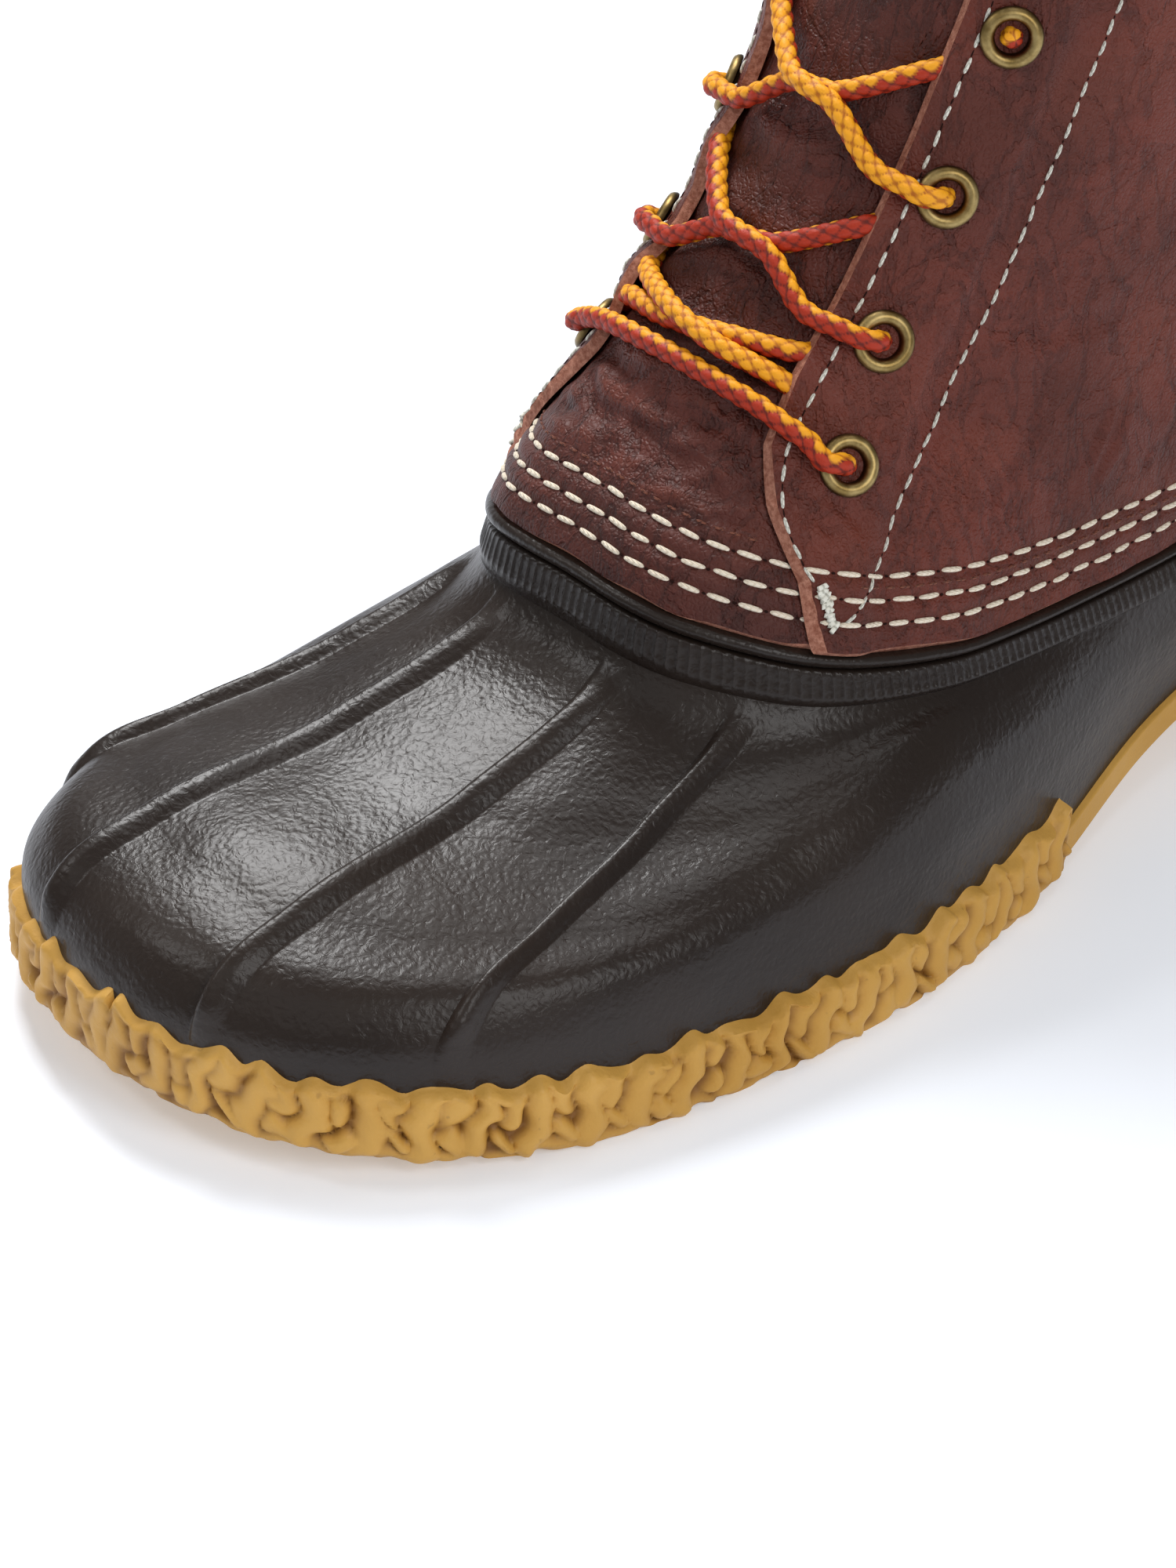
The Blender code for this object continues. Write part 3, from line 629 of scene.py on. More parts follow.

# %% [markdown]
# ## Leather
# Oiled full-grain leather shows cells about a millimetre wide with fine creases between them, and longer
# pull lines where it is stretched over the foot. Painted shade darkens its creases and pull lines, and its
# colour is redder where it is rubbed. The cut edge and the flesh side are bare, pinkish and fibrous.

# %% Leather, its cut edge and its flesh side
def leather(name, dark, warm, crease_shade, wrinkles):
    f = Finish(name, specular=0.26)
    cells = f.cells(1100.0, "DISTANCE_TO_EDGE").between(0.0, 0.30)
    pores = f.noise(1700.0, 3.0, 0.6)
    pulls = f.noise(170.0, 4.0, 0.6, 0.4, f.stretched(1.0, 0.7, 0.30)).off_middle(0.05)
    folds = f.noise(75.0, 4.0, 0.55, 0.6).off_middle(0.045)
    clouds = f.noise(26.0, 4.0, 0.6).between(0.3, 0.72)
    tone = f.mix(clouds, dark, warm)
    # painted shade: the pull lines and the folds are darkened where they are bumped in
    tone = f.mix((1 - pulls) * 0.45 * wrinkles, tone, crease_shade)
    tone = f.mix((1 - folds) * 0.30 * wrinkles, tone, crease_shade)
    tone = f.mix(f.number("rubbed") * 0.5, tone, paint(116, 56, 40))
    fine = f.relief(cells * 0.6 + pores * 0.5, 0.00020)
    middle = f.relief(pulls, 0.00015 * wrinkles, fine)
    wide = f.relief(folds, 0.00018 * wrinkles, middle)
    f.feed(base_color=tone, roughness=0.54 - clouds * 0.08, normal=wide)
    return f.material


def bare_leather(name, pale, dark, size):
    f = Finish(name, roughness=0.9, specular=0.2)
    fibres = f.noise(size, 5.0, 0.7)
    f.feed(base_color=f.mix(fibres.between(0.3, 0.75), dark, pale), normal=f.relief(fibres, 0.0006))
    return f.material


# the third colour of each leather is the painted shade in its creases
QUARTER_LEATHER = leather("quarter leather", paint(84, 38, 28), paint(106, 48, 36), paint(46, 19, 15), 0.8)
FRONT_LEATHER = leather("front leather", paint(72, 34, 27), paint(92, 43, 34), paint(40, 18, 15), 1.0)
CUT_EDGE = bare_leather("cut leather edge", paint(198, 142, 120), paint(140, 84, 66), 900.0)
FLESH_SIDE = bare_leather("flesh side", paint(150, 112, 88), paint(110, 78, 60), 500.0)
print("leathers mixed")

# %% [markdown]
# ## Thread, brass, lace and linings
# Waxed thread is pale with a fine twist, and painted shade darkens the grooves of its twist. The eyelets are
# brass that has gone brown in its hollows. The lace is braided from gold and rust-red yarns, with painted
# shade between the yarns, and the lining and footbed are felted cloth.

# %% Small finishes
def thread(name, colour, groove_shade):
    f = Finish(name, roughness=0.6, specular=0.3)
    strands = (f.number("along") * 5200.0).sine()
    # painted shade in the grooves of the twist
    f.feed(base_color=f.mix(strands.between(-1.0, -0.2), groove_shade, colour), normal=f.relief(strands, 0.00006))
    return f.material


def aged_brass():
    f = Finish("aged brass", metallic=1.0)
    stains = f.noise(260.0, 5.0, 0.65)
    tone = f.mix(stains.between(0.35, 0.7), paint(128, 106, 62), paint(176, 154, 104))
    tone = f.mix(f.number("hollow"), tone, paint(62, 48, 28))
    f.feed(base_color=tone, roughness=0.30 + stains * 0.25, normal=f.relief(stains, 0.00008))
    return f.material


def felt(name, pale, dark):
    f = Finish(name, roughness=0.95, specular=0.15)
    hairs = f.noise(700.0, 5.0, 0.75)
    f.feed(base_color=f.mix(hairs.between(0.3, 0.7), dark, pale), normal=f.relief(hairs, 0.0006))
    return f.material


def lace_yarn():
    f = Finish("lace yarn", roughness=0.55, specular=0.35)
    strands = f.number("strand")
    tone = f.mix(f.number("red"), paint(236, 160, 22), paint(168, 44, 14))
    # painted shade between the braid's yarns, where the strand's relief is low
    groove_shade = f.mix(f.number("red"), paint(170, 92, 8), paint(92, 20, 10))
    tone = f.mix(strands.between(0.05, 0.65), groove_shade, tone)
    f.feed(base_color=tone, normal=f.relief(f.noise(2600.0), 0.0001))
    return f.material


# a flat dark finish of painted shade, for the shadow inside the needle holes
def needle_hole_shade():
    f = Finish("needle hole", roughness=0.9, specular=0.1)
    f.feed(base_color=paint(38, 20, 17))
    return f.material


CREAM_THREAD = thread("cream thread", paint(238, 226, 206), paint(222, 206, 182))
WHITE_THREAD = thread("white thread", paint(226, 224, 212), paint(178, 176, 164))
BROWN_THREAD = thread("brown thread", paint(128, 76, 58), paint(78, 42, 34))
BRASS = aged_brass()
FOOTBED = felt("footbed felt", paint(178, 150, 118), paint(132, 106, 80))
LINING = felt("shell lining", paint(92, 84, 74), paint(62, 56, 50))
LACE_YARN = lace_yarn()
NEEDLE_HOLE_SHADE = needle_hole_shade()
print("small finishes mixed")

# %% [markdown]
# ## Rubber shell
# The shell is moulded in one piece. Ridges stiffen its toe, each crisp on its inner side and soft on its
# outer side, and a rounded bead runs under the leather's edge. Sculpting them by hand would wander, so they
# are heights that are added to the skin before the mesh is made.

# %% Ridges, bead and shell
CRISP_EDGE = -0.0021
CREST = -0.0005
SOFT_END = 0.0038
RIDGE_COLUMNS = 29
RIDGE_SPAN = 0.0040
RIDGE_REACH = 4.0
RIDGE_ROOM = 4.9
SHELL_PITCH = 0.0011
COARSE_FROM = 66
BEAD_LEVEL = 5.85
BEAD_HALF = 0.16
BEAD_HEIGHT = 0.0023


def per_degree(turn, level):
    """How far one degree of turn reaches along the skin."""
    return np.linalg.norm(skin(turn + 0.5, level) - skin(turn - 0.5, level), axis=-1)


def ridge_relief(turn, level):
    """The height of the ridges: a crisp inner side, a crest, and a soft fall on the outer side."""
    total = np.zeros(np.broadcast(turn, level).shape)
    for ridge in RIDGE_TURNS:
        away = wrapped(turn - ridge) * per_degree(ridge, level)
        crisp = np.sqrt(np.clip(1 - ((away - CREST) / (CRISP_EDGE - CREST)) ** 2, 0, 1))
        soft = np.clip(1 - ((away - CREST) / (SOFT_END - CREST)) ** 2, 0, 1) ** 1.4
        total += np.where(away < CREST, crisp, soft)
    return RIDGE_HEIGHT * total * ramp(level, 0.4, 1.6) * (1 - ramp(level, 4.5, 4.98))


def shell_height(turn, level):
    bead = BEAD_HEIGHT * np.sqrt(np.clip(1 - ((level - BEAD_LEVEL) / BEAD_HALF) ** 2, 0, 1))
    hidden = -2 * GAP * ramp(level, 6.0, 6.05)
    return ridge_relief(turn, level) + bead + hidden


base = even_turns(SHELL_PITCH)
base = np.concatenate([base[base < COARSE_FROM], base[base >= COARSE_FROM][::2]])
base[-1] = 180
beside = np.linspace(-RIDGE_SPAN, RIDGE_SPAN, RIDGE_COLUMNS)
for ridge in RIDGE_TURNS[2:]:
    clear = base[np.abs(base - ridge) > RIDGE_ROOM]
    base = np.concatenate([clear, ridge + beside / RIDGE_SPAN * RIDGE_REACH])
shell_turns = mirrored_turns(np.sort(base))
shell_levels = np.concatenate([
    np.linspace(0, 4.94, 96),
    np.linspace(4.98, 5.68, 5),
    np.linspace(5.69, 6.01, 17),
    [6.06, SHELL_TOP_LEVEL],
])[:, None]


def beside_ridges(turns, levels):
    """Columns near a ridge keep a steady distance from it, so that its edges stay clean."""
    turns = np.repeat(turns[None, :], len(levels), axis=0)
    for ridge in RIDGE_TURNS:
        near = np.abs(wrapped(turns[0] - ridge)) < RIDGE_REACH + 0.05
        share = wrapped(turns[0][near] - ridge) / RIDGE_REACH
        turns[:, near] = ridge + share * RIDGE_SPAN / per_degree(ridge, levels)
    return turns


lining_levels = np.linspace(0, SHELL_TOP_LEVEL, 27)[:, None]
shell_columns = beside_ridges(shell_turns, shell_levels)
shell = wall("rubber_shell_dressed",
             layer(shell_columns, shell_levels, shell_height(shell_columns, shell_levels)),
             layer(beside_ridges(shell_turns, lining_levels), lining_levels, -SHELL_WALL),
             True, [SHELL_RUBBER, LINING, SHELL_RUBBER])
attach(shell, "root")
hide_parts("rubber_shell")

# %% [markdown]
# ## Ribbed strip
# A strip with fine upright ribs is moulded round the shell below the bead, where a real boot is gripped while
# it is lasted. An array of ribs could be bent along a curve. Here the columns of the net are set out rib by
# rib, so each rib stays upright on the skin.

# %% Ribbed strip
RIB_LEVEL = 5.3
RIB_PITCH = 0.00185
RIB_HEIGHT = 0.0004
STRIP_RISE = BAND_STEP * 0.8
RIB_COLUMNS = ((0.00, 0.0), (0.09, 0.8), (0.16, 1.0), (0.23, 0.8), (0.32, 0.0), (0.65, 0.0))
STRIP_ROWS = ((4.945, -0.2), (4.96, 0.35), (4.985, 0.75), (5.02, 0.95), (5.07, 1.0), (5.12, 1.0), (5.25, 1.0),
              (5.40, 1.0), (5.52, 1.0), (5.58, 1.0), (5.62, 0.92), (5.65, 0.6), (5.68, -0.1))


def even_along(level, pitch, first=0.0, last=360.0):
    """Turns that lie pitch apart along the skin at one level."""
    fine = np.linspace(first, last, 3601)
    return evenly(fine, skin(fine, level), pitch)


ribs = even_along(RIB_LEVEL, RIB_PITCH)
strip_turns = np.concatenate([ribs[:-1] + np.diff(ribs) * share for share, _ in RIB_COLUMNS])
order = np.argsort(strip_turns)
crest = np.concatenate([np.full(len(ribs) - 1, height) for _, height in RIB_COLUMNS])[order]
strip_turns = strip_turns[order]
worn = 0.75 + 0.25 * np.sin(strip_turns / 9.0)
strip_rows = []
for level, step in STRIP_ROWS:
    standing = bump(level, 5.32, 0.31) ** 0.3
    height = STRIP_RISE * step + RIB_HEIGHT * crest * standing * worn
    strip_rows.append(layer(strip_turns, level, height))
strip = put("ribbed_strip", np.stack(strip_rows),
            net_faces(len(STRIP_ROWS), len(strip_turns), 0, True), [SHELL_RUBBER])
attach(strip, "root")
print("ribs:", len(ribs) - 1)

# %% [markdown]
# ## Gum sole
# The sole's side is a chain of rubber lumps: each link is two leaning fingers with smaller lumps between and
# under them. A noise texture would give shapeless bumps, so each link is written as a few capsules that are
# laid along the edge, a little different each time, and the highest one wins, which leaves the sharp folds
# between them.

# %% The chain of lumps
LINK = 0.0095
LINK_TALL = 1.42
LUMP_RISE = 0.0027
VALLEY = 0.0031
LUMP_FLOOR = 0.10
# start and end across and up, in links, then the radius and the height of each capsule
LINK_CAPSULES = (
    (0.10, 0.22, 0.27, 1.12, 0.33, 1.00),
    (0.68, 0.86, 0.74, 1.18, 0.27, 0.86),
    (0.62, 0.46, 0.76, 0.30, 0.24, 0.92),
    (0.34, 0.06, 0.92, 0.04, 0.19, 0.62),
    (0.30, 1.34, 0.62, 1.36, 0.17, 0.74),
)


def capsule(across, up, start_across, start_up, end_across, end_up, radius):
    """How far a point is inside a capsule: 1 on its middle line and 0 from its radius away."""
    run, rise = end_across - start_across, end_up - start_up
    share = ((across - start_across) * run + (up - start_up) * rise) / (run * run + rise * rise)
    share = np.clip(share, 0, 1)
    away = np.hypot(across - start_across - run * share, up - start_up - rise * share) / radius
    return np.clip(1 - away ** 2, 0, 1) ** 0.85


def chain(walked, up):
    """The height of the chain's lumps, 0 to 1, at a distance along the edge and a height in links."""
    source = np.random.default_rng(7)
    across = walked / LINK
    up = np.full(across.shape, up)
    swirl_across = 0.10 * np.sin(up * 4.6 + across * 1.7) + 0.05 * np.sin(up * 9.0 + across * 5.3 + 1.0)
    swirl_up = 0.08 * np.sin(across * 4.1 + 1.3) + 0.04 * np.sin(across * 9.7 + up * 3.0)
    highest = np.full(across.shape, LUMP_FLOOR)
    for link in range(-1, int(across.max()) + 2):
        shake = source.uniform(-1, 1, (len(LINK_CAPSULES), 6))
        near = (across > link - 0.9) & (across < link + 1.9)
        if not near.any():
            continue
        for number, (a, b, c, d, radius, rise) in enumerate(LINK_CAPSULES):
            s = shake[number]
            ends = np.array([a, b, c, d]) + s[:4] * 0.07
            inside = capsule(across[near] - link + swirl_across[near], up[near] + swirl_up[near],
                             *ends, radius * (1 + 0.22 * s[4]))
            highest[near] = np.maximum(highest[near], inside * rise * (1 + 0.12 * s[5]))
    return highest


# %% [markdown]
# ### The sole's side and its tread
# The side is a net from the floor to the rim, which leans on the shell. Along the arch it is a plain band.
# The tread is a second net from edge to edge, with the cross grooves pressed into it, and a coarse third net
# closes the plate's top under the footbed.

# %% The sole's side
RIM_PRESS = 0.0002
TUCK = 0.003
TUCK_RISE = 0.0001
RIM_WAVE = 0.0011
FRONT_RIM_RISE = 0.0002
BAND_RIM = 0.0012
FOOT_ROUNDING = 0.0006
SIDE_PITCH = 0.0006

side_turns = mirrored_turns(even_turns(SIDE_PITCH))
side_edge = outline(side_turns)
edge_walked = lengths_along(side_edge)
along = side_edge[:, 1]
lumpy = 1 - ramp(along, BUMPER_END - 0.0025, BUMPER_END + 0.0005)
lumpy = lumpy + ramp(along, HEEL_BREAST - 0.0005, HEEL_BREAST + 0.001)
foot_height = plate_bottom(along)
links = edge_walked / LINK
scallop = np.sin(math.pi * (links + 0.22 + 0.10 * np.sin(links * 1.7) + 0.07 * np.sin(links * 4.3))) ** 2
wave = (1.55 + 0.5 * np.sin(links * 2.3 + 1.0)) * scallop - 1.0
wave = wave + 0.4 * np.sin(links * 2.9) + 0.2 * np.sin(links * 7.7)
heel_rim = plate_top(along) + PLATE
front_rim = foot_height + BUMPER_HEIGHT + FRONT_RIM_RISE
lump_rim = np.where(along > HEEL_BREAST, heel_rim, front_rim) + RIM_WAVE * wave
rim = lump_rim * lumpy + (plate_top(along) + BAND_RIM) * (1 - lumpy)
climb_levels = np.linspace(0, 2.5, 40)
climb = skin(side_turns, climb_levels[:, None])
away = outward(outline, side_turns)
k = np.arange(len(side_turns))
smeared = 1 - 0.35 * bump(wrapped(side_turns), 0, 34)
rows = []
lumps = []
for share in np.concatenate([[0.0, 0.0], np.linspace(0.03, 1, 33)]):
    height = foot_height + (rim - foot_height) * share
    behind = np.array([np.interp(height[i], climb[:, i, 2], np.arange(40.0)) for i in k])
    low = np.clip(behind.astype(int), 0, 38)
    part = (behind - low)[:, None]
    on_shell = climb[low, k, :2] * (1 - part) + climb[low + 1, k, :2] * part
    depth = -np.sum((on_shell + [0, HEEL_SPOT] - side_edge) * away, axis=-1)
    lump = chain(edge_walked, share * LINK_TALL) * lumpy * smeared
    plain = (BUMPER_DEPTH - BAND_PROUD) * (1 - lumpy) + VALLEY * lumpy
    inset = plain - LUMP_RISE * lump + FOOT_ROUNDING * bump(share, 0.0, 0.12)
    closing = ramp(share, 0.90, 1.0)
    deepest = depth - GAP + (GAP + RIM_PRESS) * closing
    inset = inset * (1 - closing) + deepest * closing
    if not rows:
        inset = inset + TUCK
        height = height + TUCK_RISE
    rows.append(to_space(inset_outline(side_turns, np.minimum(inset, deepest)), height))
    lumps.append(np.maximum(lump, 0.75 * ramp(share, 0.72, 0.92)))
side_net = np.stack(rows)
# painted shade for the folds between the lumps, darkest where the lumps are low
fold_shade = (1 - np.stack(lumps)) * lumpy

# %% The tread and the whole sole
GROOVE_DEPTH = 0.0025
GROOVE_WIDTH = 0.004
GROOVE_PITCH = 0.013
GROOVE_MARGIN = 0.011
FIRST_GROOVE = 0.034
GROOVE_SETBACK = 0.015
TREAD_INSET = VALLEY + 0.0004
TREAD_COLUMNS = 61
BREAST_STEP = 0.00005

grooves = []
for start, end in ((FIRST_GROOVE, BUMPER_END), (HEEL_BREAST + GROOVE_SETBACK, LENGTH)):
    count = int((end - GROOVE_SETBACK - start) / GROOVE_PITCH + 0.01) + 1
    grooves += [start + GROOVE_PITCH * number for number in range(count)]
stations = np.linspace(0.0012, LENGTH - 0.0012, 520)
stations = np.sort(np.append(stations, [HEEL_BREAST - BREAST_STEP, HEEL_BREAST + BREAST_STEP]))
tread_turns = np.degrees(np.arccos(1 - 2 * stations / LENGTH))
outer_edge = inset_outline(tread_turns, TREAD_INSET)
inner_edge = inset_outline(-tread_turns, TREAD_INSET)
shares = np.linspace(0, 1, TREAD_COLUMNS)[None, :, None]
tread_plan = inner_edge[:, None] * (1 - shares) + outer_edge[:, None] * shares
tread_height = plate_bottom(stations)[:, None] + np.zeros((1, TREAD_COLUMNS))
side_margin = np.minimum(tread_plan[..., 0] - inner_edge[:, None, 0],
                         outer_edge[:, None, 0] - tread_plan[..., 0])
for place in grooves:
    across = np.abs(tread_plan[..., 1] - place)
    cut = (1 - ramp(across, GROOVE_WIDTH / 2 - 0.0006, GROOVE_WIDTH / 2)) * ramp(
        side_margin, GROOVE_MARGIN - 0.0026, GROOVE_MARGIN - 0.0016)
    tread_height = tread_height + GROOVE_DEPTH * cut
tread_net = to_space(tread_plan, tread_height)
sole_faces = net_faces(len(side_net), side_net.shape[1], 0, True)
sole_faces += net_faces(len(tread_net), TREAD_COLUMNS, side_net.size // 3, False)
top_plan = tread_plan[::8, ::6]
top_net = to_space(top_plan, plate_top(top_plan[..., 1]) - TUCK_RISE)
top_faces = net_faces(len(top_net), top_net.shape[1], (side_net.size + tread_net.size) // 3, False)
sole_faces += [face[::-1] for face in top_faces]
sole_points = np.concatenate([net.reshape(-1, 3) for net in (side_net, tread_net, top_net)])
sole = put("gum_outsole", sole_points, sole_faces, [GUM])
# the painted fold shade, with an even part of it on the tread and the plate's top
store(sole, "fold_shade", np.concatenate([fold_shade.ravel(), np.full((tread_net.size + top_net.size) // 3, 0.35)]))
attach(sole, "root")
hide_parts("outsole")

# %% [markdown]
# ## Leather pieces
# Creases decide how leather looks, and they are where the photo has them: each is a short path over the
# skin, in turns and levels, with a width and a depth. A soft trough follows the path and a low ridge rises
# beside it. Cloth simulation could wrinkle a sheet, but never at chosen places.

# %% Measuring up a meridian
CLIMB = np.linspace(EDGE_LEVEL, TONGUE_TOP_LEVEL, 185)
STATION_STEP = 3.0
STATIONS = np.arange(-180.0, 181.0, STATION_STEP)
RISES = np.linalg.norm(np.diff(skin(STATIONS[:, None], CLIMB), axis=1), axis=-1)
WALKED_UP = np.concatenate([np.zeros((len(STATIONS), 1)), np.cumsum(RISES, axis=1)], axis=1)


def climbed(turn, level):
    """The distance above the leather's edge, measured up the meridian."""
    turn, level = np.broadcast_arrays(np.asarray(turn, float), np.asarray(level, float))
    column_at = (wrapped(turn) + 180) / STATION_STEP
    row_at = np.clip((level - CLIMB[0]) / (CLIMB[1] - CLIMB[0]), 0, len(CLIMB) - 1.001)
    i, j = np.clip(column_at.astype(int), 0, len(STATIONS) - 2), row_at.astype(int)
    s, t = column_at - i, row_at - j
    low = WALKED_UP[i, j] * (1 - t) + WALKED_UP[i, j + 1] * t
    return low * (1 - s) + (WALKED_UP[i + 1, j] * (1 - t) + WALKED_UP[i + 1, j + 1] * t) * s


def level_at(turn, distance):
    """The level at a distance above the leather's edge."""
    turn, distance = np.broadcast_arrays(np.asarray(turn, float), np.asarray(distance, float))
    found = np.full(turn.shape, EDGE_LEVEL)
    for _ in range(12):
        step = 0.01
        rate = (climbed(turn, found + step) - climbed(turn, found)) / step
        found = found + (distance - climbed(turn, found)) / np.maximum(rate, 0.005)
    return found


# %% Creases
# turn and level of each point of the path, then width and depth in millimetres
FRONT_CREASES = (
    (((-2.9, 6.66), (0.6, 6.67), (5.8, 6.70), (10.4, 6.71), (15.2, 6.77), (20.2, 6.81), (25.3, 6.85)),
     1.9, 1.10),
    (((4.8, 6.94), (10.5, 6.93), (15.0, 6.92), (21.5, 6.90), (27.5, 6.89)), 1.4, 0.70),
    (((0.0, 6.88), (2.9, 6.88), (7.4, 6.88), (12.0, 6.88), (17.1, 6.88)), 1.5, 0.75),
    (((2.7, 6.55), (7.7, 6.60), (12.6, 6.64), (16.6, 6.66), (21.4, 6.66), (25.7, 6.63), (29.2, 6.57)),
     1.7, 0.85),
    (((9.0, 6.55), (13.7, 6.59), (18.4, 6.59), (23.0, 6.58), (26.7, 6.54)), 1.3, 0.55),
    (((23.1, 6.79), (25.2, 6.73), (28.0, 6.68), (30.5, 6.64)), 1.2, 0.60),
    (((27.3, 6.82), (28.0, 6.76), (29.6, 6.71), (32.1, 6.67)), 1.1, 0.60),
    (((-2.9, 6.74), (0.6, 6.75), (5.2, 6.80), (10.3, 6.83), (16.2, 6.84)), 1.4, 0.70),
    (((-10.9, 6.73), (-5.4, 6.74), (-0.9, 6.74), (1.7, 6.72)), 1.5, 0.60),
    (((24.7, 6.50), (28.5, 6.50), (32.4, 6.51), (36.1, 6.51)), 1.2, 0.45),
    (((17.1, 7.09), (21.7, 7.06), (26.9, 7.05)), 1.3, 0.60),
    (((13.6, 7.02), (18.6, 7.00), (24.0, 6.98), (28.5, 6.98)), 1.2, 0.60),
    (((2.3, 6.66), (7.1, 6.65), (12.4, 6.68), (18.2, 6.72), (23.3, 6.76)), 1.3, 0.65),
    (((-26.0, 6.80), (-18.0, 6.74), (-10.0, 6.68), (-4.0, 6.66)), 1.8, 0.90),
    (((-28.0, 6.60), (-19.0, 6.62), (-11.0, 6.58)), 1.5, 0.70),
    (((-24.0, 6.96), (-14.0, 6.92), (-5.0, 6.98)), 1.5, 0.70),
    (((-22.0, 7.30), (-8.0, 7.22), (6.0, 7.28), (21.0, 7.24)), 2.0, 0.90),
    (((-18.0, 7.90), (-4.0, 7.96), (12.0, 7.90)), 2.2, 0.70),
    (((-20.0, 8.75), (-5.0, 8.66), (16.0, 8.74)), 2.4, 0.60),
)
QUARTER_CREASES = (
    (((75.3, 6.94), (78.1, 6.77), (80.6, 6.64), (81.5, 6.55)), 1.0, 0.32),
    (((86.8, 6.88), (88.4, 6.77), (89.9, 6.71)), 0.9, 0.28),
    (((85.5, 6.76), (86.0, 6.67), (87.3, 6.58)), 0.9, 0.26),
    (((76.3, 7.16), (75.5, 7.05), (74.9, 6.97)), 0.9, 0.26),
    (((68.7, 7.17), (68.9, 6.98), (72.2, 6.86)), 1.0, 0.32),
    (((100.6, 7.12), (100.6, 6.97), (100.6, 6.81), (99.7, 6.66), (99.9, 6.57)), 1.1, 0.34),
    (((99.2, 7.04), (98.4, 6.87), (98.3, 6.75)), 0.9, 0.26),
    (((104.5, 6.75), (104.8, 6.65), (105.0, 6.58)), 0.9, 0.24),
    (((46.3, 6.71), (52.3, 6.64), (58.6, 6.52), (62.7, 6.44)), 1.2, 0.42),
    (((52.7, 6.69), (56.3, 6.60), (61.1, 6.52)), 1.0, 0.36),
    (((45.9, 6.62), (49.8, 6.55), (52.2, 6.50)), 1.0, 0.34),
    (((56.8, 6.97), (62.4, 6.84), (64.0, 6.78)), 1.0, 0.34),
    (((48.6, 7.18), (57.6, 7.02), (60.3, 6.90)), 1.0, 0.32),
    (((94.4, 6.66), (95.4, 6.56), (95.7, 6.49)), 0.9, 0.24),
    (((87.6, 7.18), (89.9, 7.00), (90.2, 6.90)), 0.9, 0.24),
    (((71.6, 6.33), (72.9, 6.24), (72.7, 6.14)), 0.9, 0.26),
    (((108.0, 7.60), (120.0, 7.42), (133.0, 7.46), (146.0, 7.62)), 2.4, 0.80),
    (((112.0, 7.90), (124.0, 7.74), (138.0, 7.80)), 2.2, 0.60),
    (((70.0, 7.75), (84.0, 7.60), (97.0, 7.66)), 2.0, 0.50),
    (((150.0, 7.30), (161.0, 7.24), (171.0, 7.32)), 2.0, 0.50),
)
CREASE_SHOULDER = 0.35


def creased(turn, level, creases):
    """How far the creases move the leather, in metres: down in a trough and up beside it."""
    turn, level = np.broadcast_arrays(np.asarray(turn, float), np.asarray(level, float))
    points = skin(turn, level)
    total = np.zeros(turn.shape)
    for path, width, depth in creases:
        knots = skin(*np.array(path, float).T)
        nearest = np.full(turn.shape, 1.0)
        along_it = np.zeros(turn.shape)
        for number in range(len(knots) - 1):
            line = knots[number + 1] - knots[number]
            share = np.clip((points - knots[number]) @ line / (line @ line), 0, 1)
            gap = np.linalg.norm(points - knots[number] - share[..., None] * line, axis=-1)
            closer = gap < nearest
            nearest = np.where(closer, gap, nearest)
            along_it = np.where(closer, (number + share) / (len(knots) - 1), along_it)
        fade = np.clip(4 * along_it * (1 - along_it), 0, 1) ** 0.5
        away = nearest * 1000 / width
        trough = np.exp(-away ** 2) - CREASE_SHOULDER * np.exp(-((away - 1.9) / 0.9) ** 2)
        total -= trough * fade * depth / 1000
    return total


def both_sides(creases):
    """The same creases on the inner side, a little higher, so that the sides aren't twins."""
    inner = tuple((tuple((-turn - 2.0, level + 0.05) for turn, level in path), width, depth)
                  for path, width, depth in creases)
    return creases + inner


# %% The heights of the two leather pieces
ROWS_AT = (0.0048, 0.0086, 0.0126)
STITCH_PINCH = 0.00035
THINNEST = 0.0008
EDGE_ROUNDING = 0.0003
EDGE_REACH = 0.0005
FRONT_DEEPER = 1.3
QUARTER_DEEPER = 1.5
LACE_RUNS = (7.27, 7.45, 8.26, 9.15)
LACE_RISE = 0.0014


def pinched(distance):
    """The rows of stitches pull the leather down, and it puffs up between them."""
    low = sum(np.exp(-((distance - row) / 0.0009) ** 2) for row in ROWS_AT)
    puff = bump(distance, 0.0067, 0.0019) + bump(distance, 0.0106, 0.0020)
    return 0.00022 * puff - STITCH_PINCH * low


def tongue_lift(turn):
    """How far the tongue lifts the quarters that lie over its edges."""
    return (TONGUE_WALL + 2 * GAP) * (1 - ramp(np.abs(wrapped(turn)) - GUSSET_TURN, 1.0, 7.0))


def rounded(distance):
    """The leather thins a little at its cut edge."""
    return -EDGE_ROUNDING * np.exp(-distance / EDGE_REACH)


def front_height(turn, level):
    """The height of the front piece's outer face above the skin."""
    distance = climbed(turn, level)
    place = skin(turn, level)
    crumple = 0.00052 * grain(place, 0.0110, 3) + 0.00014 * grain(place, 0.0048, 4)
    rubbed_flat = ramp(distance, 0.010, 0.020) * 0.8 + 0.2
    height = (GAP + TONGUE_WALL + rounded(distance) + pinched(distance) + crumple * rubbed_flat
              + FRONT_DEEPER * creased(turn, level, FRONT_CREASES))
    return np.maximum(height, GAP + THINNEST)


